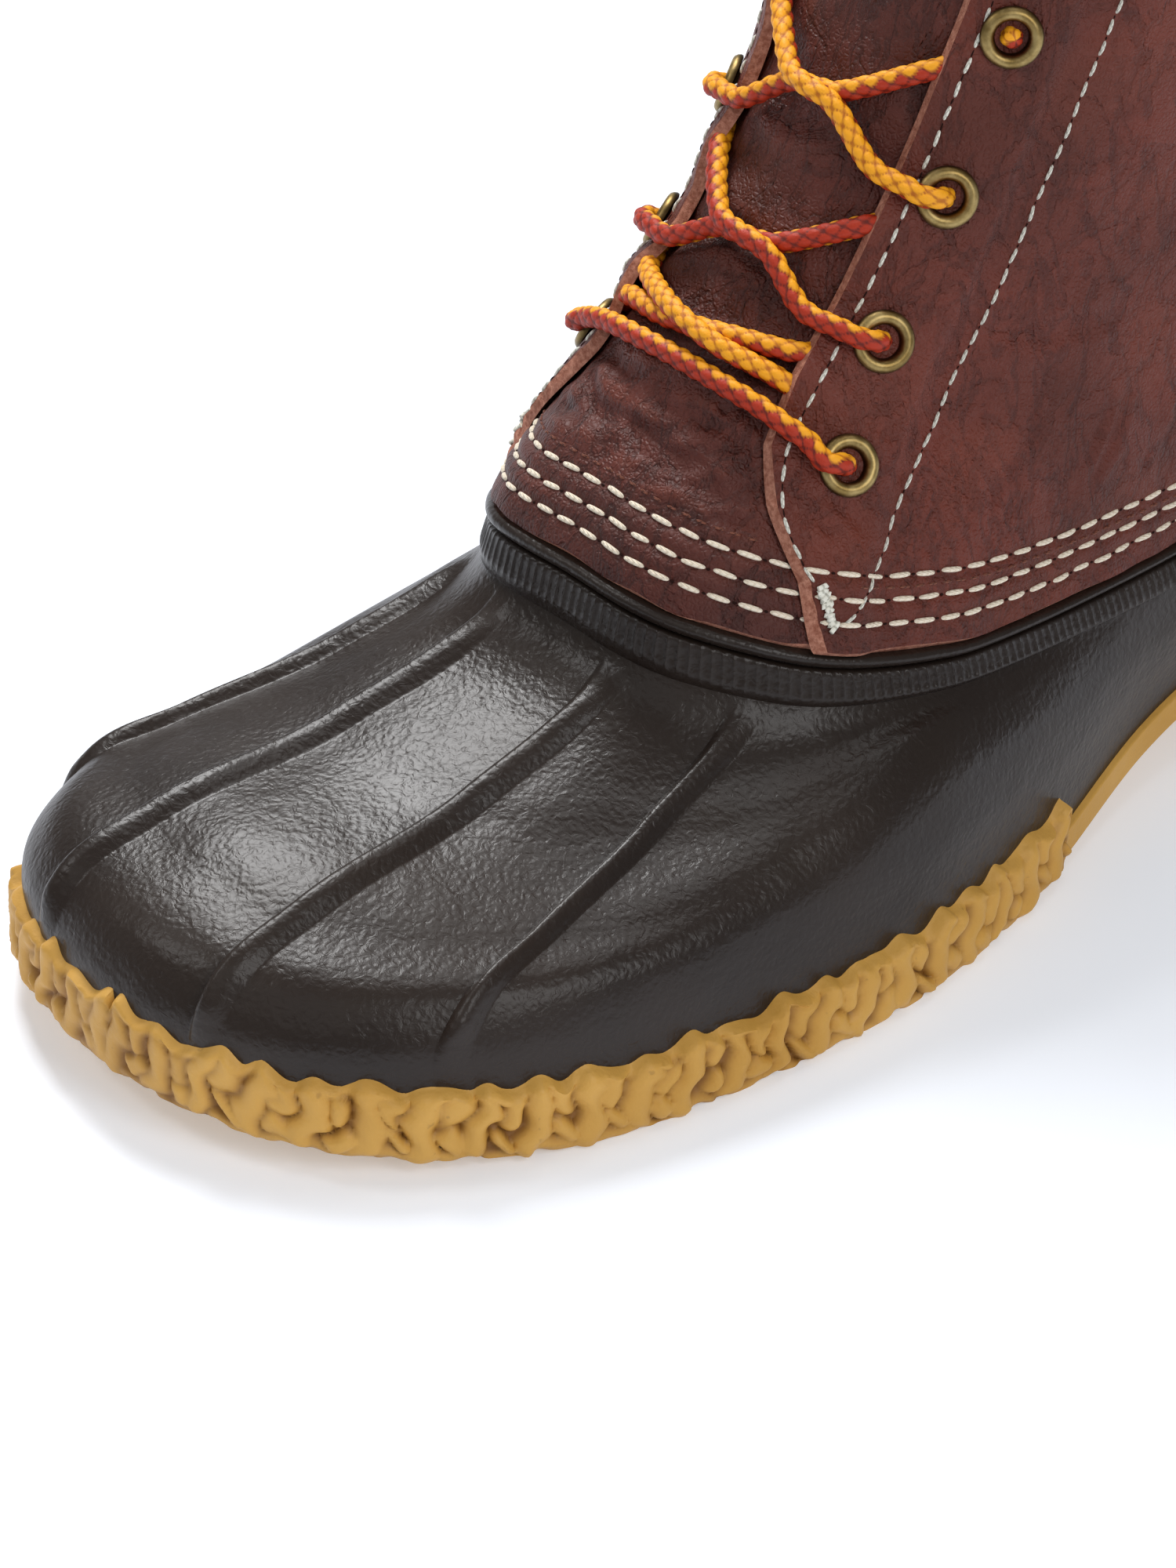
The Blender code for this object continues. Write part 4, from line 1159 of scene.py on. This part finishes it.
def over_the_lace(turn, level):
    """The quarters' edge rises a little where the lace comes out from under it."""
    total = 0.0
    away = np.abs(wrapped(turn)) - throat(level)
    near = np.exp(-(away / 11.0) ** 2) * (wrapped(turn) != 0)
    for at_level in LACE_RUNS:
        total = total + LACE_RISE * near * np.exp(-((level - at_level) / 0.17) ** 2)
    return total


def quarter_height(turn, level):
    """The height of the quarters' outer face above the skin."""
    distance = climbed(turn, level)
    place = skin(turn, level)
    from_back = 180 - np.abs(wrapped(turn))
    back_strip = BACK_STRIP_STEP * (1 - ramp(from_back, BACK_STRIP_TURN - 1.0, BACK_STRIP_TURN))
    soft = 0.00030 * grain(place, 0.014, 5) + 0.00009 * grain(place, 0.0045, 6)
    pulls = QUARTER_DEEPER * creased(turn, level, both_sides(QUARTER_CREASES))
    return (GAP + tongue_lift(turn) + LEATHER + back_strip + rounded(distance) + pinched(distance)
            + soft + pulls + over_the_lace(turn, level))


# %% [markdown]
# ### Front piece and tongue
# The front piece is one sheet that runs up as the tongue. It is the softest leather of the boot, so it
# carries most creases. Its raw edge is cut on a slant, so its pinkish inside shows as a line above the
# rubber.

# %% Front piece and tongue
LEATHER_START = 6.02
WAVY_TO = 6.3
TURNS_OUT = 0.040
FRONT_COLUMNS = 200


def near_the_edge(levels):
    """1 at the leather's lower edge and 0 from a little above it, as a column."""
    return (1 - ramp(levels, LEATHER_START, WAVY_TO))[:, None]


def every(step, count):
    """Every step-th number below count, and always the last one."""
    return np.append(np.arange(0, count - 1, step), count - 1)


def only_outside(rubbed, inner):
    """The rubbed values of a wall's outer points, and none for its inner ones."""
    return np.concatenate([rubbed.ravel(), np.zeros(inner[..., 0].size)])


front_levels = np.linspace(LEATHER_START, 7.4, 190)
front_levels = np.append(front_levels, np.linspace(7.42, TONGUE_TOP_LEVEL, 120))
front_half = GUSSET_TURN * (1 - 0.5 * ramp(front_levels, COLLAR_LEVEL, TONGUE_TOP_LEVEL))[:, None]
front_turns = front_half * np.linspace(-1, 1, FRONT_COLUMNS)[None, :]
wavy = TURNS_OUT * grain(skin(front_turns[0], LEATHER_START), 0.012, 11)
front_net_levels = front_levels[:, None] + wavy * 0.35 * near_the_edge(front_levels)
front_outer = layer(front_turns, front_net_levels, front_height(front_turns, front_net_levels))
inner_rows = every(4, len(front_levels))
inner_levels = front_net_levels[inner_rows] - TURNS_OUT * near_the_edge(front_levels[inner_rows])
front_inner = layer(front_turns[inner_rows], inner_levels, GAP)
front = wall("front_piece_and_tongue", front_outer, front_inner, False, [FRONT_LEATHER, FLESH_SIDE, CUT_EDGE])
high_spots = creased(front_turns, front_net_levels, FRONT_CREASES)
rubbed = ramp(high_spots, 0.00005, 0.0003) * 0.6 + ramp(grain(front_outer, 0.02, 8), 0.2, 0.9) * 0.35
store(front, "rubbed", only_outside(rubbed, front_inner))
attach(front, "root")
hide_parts("tongue")

# %% [markdown]
# ### Quarters
# The two quarters close round the heel under a back strip. Their front edges are cut on a slant too, and rise
# a little where the lace comes out from under them.

# %% Quarters
quarter_levels = np.append(np.linspace(LEATHER_START, 7.3, 110), np.linspace(7.34, COLLAR_LEVEL, 86))
quarter_path = even_along(7.0, 0.0011, throat(7.0), 360 - throat(7.0))
around = (quarter_path - quarter_path[0]) / (quarter_path[-1] - quarter_path[0])
edge_turn = throat(quarter_levels)[:, None]
quarter_turns = edge_turn + (360 - 2 * edge_turn) * around
ragged = 0.01 * grain(skin(quarter_turns[0], LEATHER_START), 0.011, 12)
quarter_net_levels = quarter_levels[:, None] + ragged * near_the_edge(quarter_levels)
quarter_outer = layer(quarter_turns, quarter_net_levels, quarter_height(quarter_turns, quarter_net_levels))
inner_rows = every(3, len(quarter_levels))
slant = 2.0 * (bump(around, 0, 0.02) - bump(around, 1, 0.02))
inner_turns = quarter_turns[inner_rows] - slant
inner_levels = quarter_net_levels[inner_rows] - TURNS_OUT * near_the_edge(quarter_levels[inner_rows])
inside = GAP + tongue_lift(inner_turns) + over_the_lace(inner_turns, inner_levels)
quarter_inner = layer(inner_turns, inner_levels, inside)
quarters = wall("quarters_dressed", quarter_outer, quarter_inner, False,
                [QUARTER_LEATHER, FLESH_SIDE, CUT_EDGE])
rubbed = ramp(grain(quarter_outer, 0.03, 9), 0.1, 0.9) * 0.5
store(quarters, "rubbed", only_outside(rubbed, quarter_inner))
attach(quarters, "root")
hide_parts("leather_quarters")

# %% [markdown]
# ## Footbed
# The footbed is a felt-covered board that lies on the sole's plate. Only its colour and its soft edge show
# through the collar, so one ring for each station is enough.

# %% Footbed
BED_INSET = BUMPER_DEPTH + 3 * GAP + SHELL_WALL
# share across and share of the height, round one ring
BED_RING = ((0.0, 0.0), (1.0, 0.0), (1.0, 0.7), (0.985, 0.93), (0.96, 1.0), (0.75, 0.97), (0.5, 0.95),
            (0.25, 0.97), (0.04, 1.0), (0.015, 0.93), (0.0, 0.7))

bed_turns = np.degrees(np.arccos(1 - 2 * np.linspace(0.0008, 0.9992, 160)))
outer_side = inset_outline(bed_turns, BED_INSET)
inner_side = inset_outline(-bed_turns, BED_INSET)
bed_rows = []
for inner_end, outer_end in zip(inner_side, outer_side):
    ring = [inner_end * (1 - across) + outer_end * across for across, _ in BED_RING]
    under = plate_top(outer_end[1]) + GAP
    bed_rows.append(to_space(np.array(ring), under + INSOLE * column(BED_RING, 1)))
bed_net = np.stack(bed_rows)
bed_faces = net_faces(len(bed_net), len(BED_RING), 0, True)
bed_faces += [tuple(range(len(BED_RING)))[::-1]]
bed_faces += [tuple(range((len(bed_net) - 1) * len(BED_RING), len(bed_net) * len(BED_RING)))]
footbed = put("footbed", bed_net, bed_faces, [FOOTBED])
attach(footbed, "root")
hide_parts("insole")

# %% [markdown]
# ## Eyelets
# An eyelet is a brass tube that is rolled over the leather. Its profile is spun round the hole's own axis,
# which stands at right angles to the skin.

# %% Eyelets
SIDES = ((1, "outer"), (-1, "inner"))
# share of the radius and height of each point of the profile, and how deep it lies in a hollow
EYELET_PROFILE = ((0.52, -0.0028), (0.52, -0.0006), (0.54, 0.0002), (0.60, 0.0008), (0.68, 0.00112),
                  (0.78, 0.00120), (0.87, 0.00105), (0.95, 0.0006), (0.99, 0.0001), (0.985, -0.0003),
                  (0.90, -0.0005), (0.62, -0.0005), (0.62, -0.0028))
HOLLOWS = (1.0, 1.0, 0.9, 0.35, 0.1, 0.0, 0.0, 0.25, 0.8, 1.0, 1.0, 1.0, 1.0)
SPIN_STEPS = 48
RING_REACH = EYELET_RADIUS * 1.06


def across_and_up(axis):
    """Two directions at right angles to an axis and to each other."""
    first = np.cross([0.0, 0.0, 1.0], axis)
    first /= np.linalg.norm(first)
    return first, np.cross(axis, first)


def eyelet(side, side_name, number):
    level, turn = EYELETS[number]
    turn = turn * side
    axis = normals(np.array(turn), np.array(level))
    seat = layer(turn, level, GAP + tongue_lift(turn) + LEATHER + 2 * GAP)
    first, second = across_and_up(axis)
    angles = np.linspace(0, 2 * math.pi, SPIN_STEPS, endpoint=False)[None, :, None]
    reach = column(EYELET_PROFILE, 0)[:, None, None] * RING_REACH
    lift = column(EYELET_PROFILE, 1)[:, None, None]
    net = seat + (first * np.cos(angles) + second * np.sin(angles)) * reach + axis * lift
    name = f"eyelet_{side_name}_{number + 1}"
    faces = net_faces(len(net), SPIN_STEPS, 0, True)
    last = (len(net) - 1) * SPIN_STEPS
    faces += [[last + k, last + (k + 1) % SPIN_STEPS, (k + 1) % SPIN_STEPS, k] for k in range(SPIN_STEPS)]
    ring = put(name + "_ring", net, faces, [BRASS])
    store(ring, "hollow", np.repeat(HOLLOWS, SPIN_STEPS))
    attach(ring, "root")
    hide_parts(name)


for number in range(len(EYELETS)):
    for side, side_name in SIDES:
        eyelet(side, side_name, number)

# %% [markdown]
# ## Lace
# One lace starts at the top eyelet of a side, crosses down to the lowest eyelets, passes them as a bar from
# outside, and crosses up again. Its path is a list of places on the skin. The braid is a pattern of lozenges
# round the cord, where two families of yarns pass over and under each other.

# %% The lace's path
ON_TONGUE = GAP + TONGUE_WALL + LACE / 2 + 0.0002
UNDER = 0.0024
THROUGH = GAP + TONGUE_WALL + 2 * GAP + LEATHER
ON_QUARTER = THROUGH + LACE / 2 + 0.0001
BAR = ((0, 7.16, ON_TONGUE + 0.0006), (15, 7.13, ON_TONGUE + 0.0007), (25, 7.08, ON_TONGUE + 0.0010),
       (33, 7.01, ON_QUARTER - 0.0004), (39, 6.95, ON_QUARTER + 0.0002))


def down_the_hole(side, number, from_outside):
    """Places of the lace through one eyelet, from outside to inside or back."""
    level, turn = EYELETS[number]
    hole = [(turn - 6.5, level, ON_QUARTER + 0.0013), (turn - 2.6, level, ON_QUARTER + 0.0009),
            (turn - 0.3, level, THROUGH - 0.0004), (turn - 0.5, level, UNDER)]
    places = [(side * t, l, h) for t, l, h in hole]
    return places if from_outside else places[::-1]


def crossing(side, number):
    """The lace from the eyelet of one side, where it comes out, to the next one on the other side."""
    low, high = EYELETS[number][0], EYELETS[number + 1][0]
    climb = high - low
    if number == 0:
        start, end = low + 0.54 * climb, low + 0.78 * climb
        places = [(side * (throat(start) + 9), low + 0.36 * climb, UNDER),
                  (side * (throat(start) - 4), start, ON_TONGUE)]
    else:
        start, end = low + 0.10 * climb, low + 0.72 * climb
        places = [(side * (throat(low) + 3), low + 0.03, ON_QUARTER + 0.0004),
                  (side * (throat(low) - 8), start, ON_TONGUE + 0.001)]
    middle = (start + end) / 2
    hump = 0.0026 if side > 0 else 0.0
    places += [(side * 9, middle - 0.04, ON_TONGUE + hump * 0.6), (0, middle, ON_TONGUE + hump),
               (-side * 9, middle + 0.05, ON_TONGUE + hump * 0.6),
               (-side * (throat(end) - 4), end, ON_TONGUE),
               (-side * (throat(end) + 8), end + 0.4 * (high - end), UNDER)]
    return places


def half_of_the_lace(side):
    """The lace from the middle of its bar to the top eyelet of one side or the other."""
    places = [(side * turn, level, height) for turn, level, height in BAR]
    places += down_the_hole(side, 0, True)
    for number in range(len(EYELETS) - 1):
        places += crossing(side, number)
        side = -side
        places += down_the_hole(side, number + 1, False)
    level, turn = EYELETS[-1]
    return places[:-2] + [(side * (turn + 0.7), level, THROUGH + 0.0022)]


def lace_places():
    return half_of_the_lace(1)[::-1] + half_of_the_lace(-1)[1:]


# %% A smooth cord through the places
LACE_ROUND = 28
LACE_STEP = 0.00036
YARNS_ROUND = 4
YARN_PITCH = 0.0034
YARN_RELIEF = 0.00036
LACE_TAPER = 0.0015
TOWARDS_TOE = np.array([0.0, -0.9, -0.44])


def through_points(knots, per_knot=40):
    """A smooth curve through points, walked at an even pace."""
    knots = np.asarray(knots, float)
    ends = [2 * knots[0] - knots[1], 2 * knots[-1] - knots[-2]]
    padded = np.concatenate([ends[:1], knots, ends[1:]])
    t = np.linspace(0, 1, per_knot, endpoint=False)[:, None]
    pieces = []
    for i in range(1, len(padded) - 2):
        a, b, c, d = padded[i - 1:i + 3]
        pieces.append(0.5 * (2 * b + (c - a) * t + (2 * a - 5 * b + 4 * c - d) * t ** 2
                             + (3 * b - a - 3 * c + d) * t ** 3))
    return np.concatenate(pieces + [knots[-1:]])


def walked_evenly(points, step):
    """Points about a step apart along the same path, and how far along it they lie."""
    walked = lengths_along(points)
    at = np.linspace(0, walked[-1], max(round(walked[-1] / step), 3) + 1)
    return np.stack([np.interp(at, walked, points[:, axis]) for axis in range(3)], -1), at


def frames_along(centre, first_up):
    """Directions across a cord at each of its points, carried along without twisting."""
    tangents = np.gradient(centre, axis=0)
    tangents /= np.linalg.norm(tangents, axis=-1, keepdims=True)
    ups = np.empty_like(tangents)
    up_now = first_up
    for i, tangent in enumerate(tangents):
        up_now = up_now - tangent * (up_now @ tangent)
        up_now = up_now / np.linalg.norm(up_now)
        ups[i] = up_now
    return ups, np.cross(tangents, ups)


def tube(name, centre, radii, first_up, steps, material):
    """A round cord. The radii are one for each point, or one for each point and step round it."""
    ups, sides = frames_along(centre, first_up)
    angles = np.linspace(0, 2 * math.pi, steps, endpoint=False)[None, :, None]
    radii = np.asarray(radii, float).reshape(len(centre), -1)[..., None]
    net = centre[:, None] + (ups[:, None] * np.cos(angles) + sides[:, None] * np.sin(angles)) * radii
    faces = net_faces(len(centre), steps, 0, True)
    faces += [tuple(range(steps))[::-1], tuple(range((len(centre) - 1) * steps, len(centre) * steps))]
    return put(name, net, faces, [material])


knots = lace_places()
lace_line = through_points([layer(turn, level, height) for turn, level, height in knots])
lace_centre, lace_walked = walked_evenly(lace_line, LACE_STEP)
first_up = normals(np.array(knots[0][0]), np.array(knots[0][1]))
round_it = np.linspace(0, YARNS_ROUND, LACE_ROUND, endpoint=False)[None, :]
forth = round_it + lace_walked[:, None] / YARN_PITCH
back_again = round_it - lace_walked[:, None] / YARN_PITCH
lozenge = np.abs(np.sin(math.pi * forth) * np.sin(math.pi * back_again)) ** 0.6
from_end = np.minimum(lace_walked, lace_walked[-1] - lace_walked)
taper = np.sqrt(np.clip(1 - (1 - np.clip(from_end / LACE_TAPER, 0, 1)) ** 2, 0.02, 1))[:, None]
lace_radii = (LACE / 2 - YARN_RELIEF * (1 - lozenge)) * taper
lace = tube("braided_lace", lace_centre, lace_radii, first_up, LACE_ROUND, LACE_YARN)
# the lozenge's relief also sets the painted shade between the yarns
store(lace, "strand", lozenge)
yarn_angle = (np.floor(forth) + np.floor(back_again) + 1) / 2 / YARNS_ROUND * 2 * math.pi
bar_middle = np.argmin(np.linalg.norm(lace_centre - layer(*BAR[0]), axis=-1))
ups, sides = frames_along(lace_centre, first_up)
red_way = math.atan2(sides[bar_middle] @ TOWARDS_TOE, ups[bar_middle] @ TOWARDS_TOE)
store(lace, "red", ramp(np.cos(yarn_angle - red_way), 0.10, 0.25))
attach(lace, "root")
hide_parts("lace_bar", "lace_cross_1", "lace_cross_2", "lace_cross_3")
print("lace length:", round(float(lace_walked[-1]), 3), "m")

# %% [markdown]
# ## Stitches
# Each row is a path over the leather that is walked at the needle's pitch. A stitch is a short bowed thread
# whose ends dive into the leather, and a small sunk dark dash of painted shade lies in each gap, where the
# needle hole is. A dashed line could be painted on, but thread that stands up catches light and casts a
# shadow.

# %% One row of stitches
THREAD_ROUND = 8
BOW = np.clip(np.sin(np.linspace(0.0, math.pi, 9)), 0, 1)
TWIST = 0.0012
SEWING_HEIGHT = 0.003


def on_leather(turn, level):
    """The height of the leather that shows at a place."""
    outer = np.abs(wrapped(turn)) > throat(level)
    return np.where(outer, quarter_height(turn, level), front_height(turn, level))


def stitches(name, path, size, material, seed, shift=0.0, sunk=0.0):
    """A row of stitches along a path of turns and levels. The thread lies on the leather, less sunk."""
    source = np.random.default_rng(seed)
    pitch, length, thickness = size
    turn, level = np.asarray(path, float).T
    walked = lengths_along(layer(turn, level, SEWING_HEIGHT))
    count = int(walked[-1] / pitch)
    uneven = source.uniform(-0.03, 0.03, count) * pitch
    middles = (np.arange(count) + 0.5) * walked[-1] / count + shift * pitch + uneven
    lengths = length * source.uniform(0.93, 1.05, count)
    at = middles[:, None] + lengths[:, None] * np.linspace(-0.5, 0.5, len(BOW))
    turns, levels = np.interp(at, walked, turn), np.interp(at, walked, level)
    rise = thickness * (0.62 * BOW ** 0.35 - 0.45) - sunk
    centre = layer(turns, levels, on_leather(turns, levels) + rise)
    up = normals(turns, levels)
    forward = np.gradient(centre, axis=1)
    forward /= np.linalg.norm(forward, axis=-1, keepdims=True)
    side = np.cross(forward, up)
    sway = source.uniform(-0.12, 0.12, (count, 1)) * thickness
    lean = source.uniform(-0.16, 0.16, (count, 1)) * thickness * np.linspace(-1, 1, len(BOW))
    centre = centre + side * (sway + lean)[..., None]
    angle = np.linspace(0, 2 * math.pi, THREAD_ROUND, endpoint=False)[:, None]
    radius = (thickness / 2 * (0.55 + 0.45 * BOW ** 0.35))[None, :, None, None]
    net = centre[:, :, None] + (up[:, :, None] * np.cos(angle) + side[:, :, None] * np.sin(angle)) * radius
    faces = []
    for number in range(count):
        first = number * len(BOW) * THREAD_ROUND
        faces += net_faces(len(BOW), THREAD_ROUND, first, True)
        faces.append(tuple(range(first, first + THREAD_ROUND))[::-1])
        last = first + (len(BOW) - 1) * THREAD_ROUND
        faces.append(tuple(range(last, last + THREAD_ROUND)))
    row = put(name, net, faces, [material])
    store(row, "along", at[:, :, None] + angle[None, None, :, 0] * TWIST / (2 * math.pi))
    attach(row, "root")


def round_the_boot(distance, first=-180.0, last=180.0):
    """A path at a steady distance above the leather's edge."""
    turns = np.linspace(first, last, 721)
    return np.stack([turns, level_at(turns, distance)], -1)


def sewn(name, path, size, material, seed, shift=0.0):
    """A row of stitches and dark dashes of painted shade in the gaps, where the needle holes are."""
    stitches(name, path, size, material, seed, shift)
    pitch, length, thickness = size
    # dark dashes of painted shade sunk in the gaps, where the needle holes are
    hole_shade_size = (pitch, (pitch - length) * 1.1, thickness * 0.42)
    stitches(name + "_hole_shades", path, hole_shade_size, NEEDLE_HOLE_SHADE, seed, shift + 0.5, thickness * 0.02)


# %% Cream rows round the boot
# pitch, length and thickness of a stitch
CREAM_STITCH = (0.0055, 0.0047, 0.00095)

for number, distance in enumerate(ROWS_AT):
    name = f"cream_row_{number + 1}"
    sewn(name, round_the_boot(distance), CREAM_STITCH, CREAM_THREAD, 20 + number, 0.37 * number)

# %% White and tonal rows
SEAM_STITCH = (0.0042, 0.0030, 0.00065)
CLOSE_STITCH = (0.0042 * 0.86, 0.0030, 0.00065)
TINY_STITCH = (0.0030, 0.0021, 0.00045)
QUARTER_TONAL = 0.0107
FRONT_TONAL = 0.0152
STRIP_MARGIN = 2.4
# turn and level along the quarter's front edge and along the seam that holds the tongue's edge
FRONT_EDGE_ROW = ((49.4, 6.29), (46.5, 6.36), (42.9, 6.46), (39.7, 6.57), (36.9, 6.75), (35.6, 6.92),
                  (36.0, 7.19), (36.8, 8.0), (38.6, 9.0), (40.5, 9.82))
TONGUE_SEAM = ((55.4, 6.12), (59.8, 6.24), (61.8, 6.34), (63.9, 6.49), (64.8, 6.67), (65.8, 6.83),
               (66.8, 7.03), (67.4, 7.31), (68.6, 8.0), (70.2, 9.0), (71.5, 9.97))
COLLAR_ROWS = (9.86, 9.74)


def finely(path):
    """A path with many points, smooth through the few that are given."""
    turn, level = np.array(path, float).T
    at = np.arange(len(path), dtype=float)
    fine = np.linspace(0, len(path) - 1, 40 * len(path))
    return np.stack([smooth(at, turn, fine, False), smooth(at, level, fine, False)], -1)


for side, side_name in SIDES:
    mirror = np.array([side, 1])
    front_edge = finely(FRONT_EDGE_ROW) * mirror
    sewn(f"front_edge_row_{side_name}", front_edge, SEAM_STITCH, WHITE_THREAD, 31)
    tongue_seam = finely(TONGUE_SEAM) * mirror
    sewn(f"tongue_seam_{side_name}", tongue_seam, CLOSE_STITCH, WHITE_THREAD, 32)
    tonal_turns = np.linspace(58.0, 170.0, 400)
    tonal = np.stack([tonal_turns, level_at(tonal_turns, QUARTER_TONAL)], -1) * mirror
    stitches(f"tonal_row_{side_name}", tonal, TINY_STITCH, BROWN_THREAD, 33)
    strip_levels = np.linspace(6.1, 9.97, 300)
    strip_turn = np.full(len(strip_levels), 180 - BACK_STRIP_TURN + STRIP_MARGIN)
    strip_row = np.stack([strip_turn, strip_levels], -1) * mirror
    sewn(f"back_strip_row_{side_name}", strip_row, SEAM_STITCH, CREAM_THREAD, 34)
stitches("tonal_row_front", round_the_boot(FRONT_TONAL, -46.0, 37.0), TINY_STITCH, BROWN_THREAD, 35)
collar_turns = np.linspace(42.0, 318.0, 900)
for number, level in enumerate(COLLAR_ROWS):
    collar_path = np.stack([collar_turns, np.full(len(collar_turns), level)], -1)
    sewn(f"collar_row_{number + 1}", collar_path, SEAM_STITCH, CREAM_THREAD, 36 + number)

# %% [markdown]
# ### Bar tacks
# Where the two white rows meet, a machine sews to and fro over the corner, to stop it tearing. The thread
# heaps up there, so it is one cord that wanders in a tight zigzag.

# %% Bar tacks
TACK_START = (50.1, 6.30)
TACK_END = (53.6, 6.12)
TACK_TURNS = 9
TACK_SWING = (0.75, 0.016)
TACK_THREAD = 0.00042
TACK_ROUND = 8


def bar_tack(side, side_name):
    source = np.random.default_rng(40)
    share = np.linspace(0, 1, 2 * TACK_TURNS + 1)
    swing = np.where(np.arange(len(share)) % 2, 1.0, -1.0) * source.uniform(0.5, 1.2, len(share))
    turn = TACK_START[0] + (TACK_END[0] - TACK_START[0]) * share + TACK_SWING[0] * swing
    level = TACK_START[1] + (TACK_END[1] - TACK_START[1]) * share + TACK_SWING[1] * swing
    level = level + source.uniform(-0.01, 0.01, len(share))
    height = on_leather(turn, level) + 0.0002 + 0.0007 * source.uniform(0.2, 1, len(share))
    centre, walked = walked_evenly(through_points(layer(turn * side, level, height), 12), 0.00025)
    up = normals(np.array(TACK_START[0] * side), np.array(TACK_START[1]))
    radii = np.full(len(centre), TACK_THREAD)
    tack = tube(f"bar_tack_{side_name}", centre, radii, up, TACK_ROUND, WHITE_THREAD)
    store(tack, "along", np.repeat(walked, TACK_ROUND))
    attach(tack, "root")


for side, side_name in SIDES:
    bar_tack(side, side_name)

# %% [markdown]
# ## Floor, light and world
# The boot stands on a plain pale floor under five soft lamps. Large lamps give the long calm highlights
# that show rubber as satin, and small ones would put hard dots on every pebble.

# %% Floor, light and world
FLOOR_GLOW = 0.30
FLOOR_REACH = 4.0
ROOM_LIGHT = 0.24
MIDDLE = (0.0, -0.09, 0.05)
# name, place, size and power of each lamp
LAMPS = (
    ("key lamp", (-0.85, 0.22, 1.30), (0.4, 0.8), 23.0),
    ("toe lamp", (-0.76, -0.98, 1.18), (0.30, 0.30), 3.5),
    ("top lamp", (-0.05, 0.40, 1.50), (0.6, 0.6), 3.0),
    ("side lamp", (1.25, -0.20, 0.95), (0.6, 0.9), 9.0),
    ("front lamp", (0.45, -1.30, 1.25), (1.5, 1.0), 3.0),
)


def floor_finish():
    f = Finish("pale floor", roughness=0.7, specular=0.2)
    f.feed(base_color=paint(222, 227, 236), emission_color=paint(250, 252, 255), emission_strength=FLOOR_GLOW)
    return f.material


floor_mesh = bpy.data.meshes.new("floor")
floor_corners = [(x * FLOOR_REACH, y * FLOOR_REACH, 0) for x, y in ((-1, -1), (1, -1), (1, 1), (-1, 1))]
floor_mesh.from_pydata(floor_corners, [], [(0, 1, 2, 3)])
floor_mesh.materials.append(floor_finish())
floor = bpy.data.objects.new("floor", floor_mesh)
bpy.context.scene.collection.objects.link(floor)


def soft_lamp(name, place, size, power):
    """A soft lamp that faces the middle of the boot."""
    lamp = bpy.data.lights.new(name, "AREA")
    lamp.shape = "RECTANGLE"
    lamp.size, lamp.size_y = size
    lamp.energy = power
    stand = bpy.data.objects.new(name, lamp)
    stand.location = place
    stand.rotation_euler = (Vector(MIDDLE) - Vector(place)).to_track_quat("-Z", "Y").to_euler()
    bpy.context.scene.collection.objects.link(stand)


for name, place, size, power in LAMPS:
    soft_lamp(name, place, size, power)

world = bpy.data.worlds.new("pale room")
world.use_nodes = True
room = world.node_tree.nodes["Background"]
room.inputs["Color"].default_value = (1.0, 1.0, 1.0, 1.0)
room.inputs["Strength"].default_value = ROOM_LIGHT
bpy.context.scene.world = world
bpy.context.scene.view_settings.view_transform = "Standard"
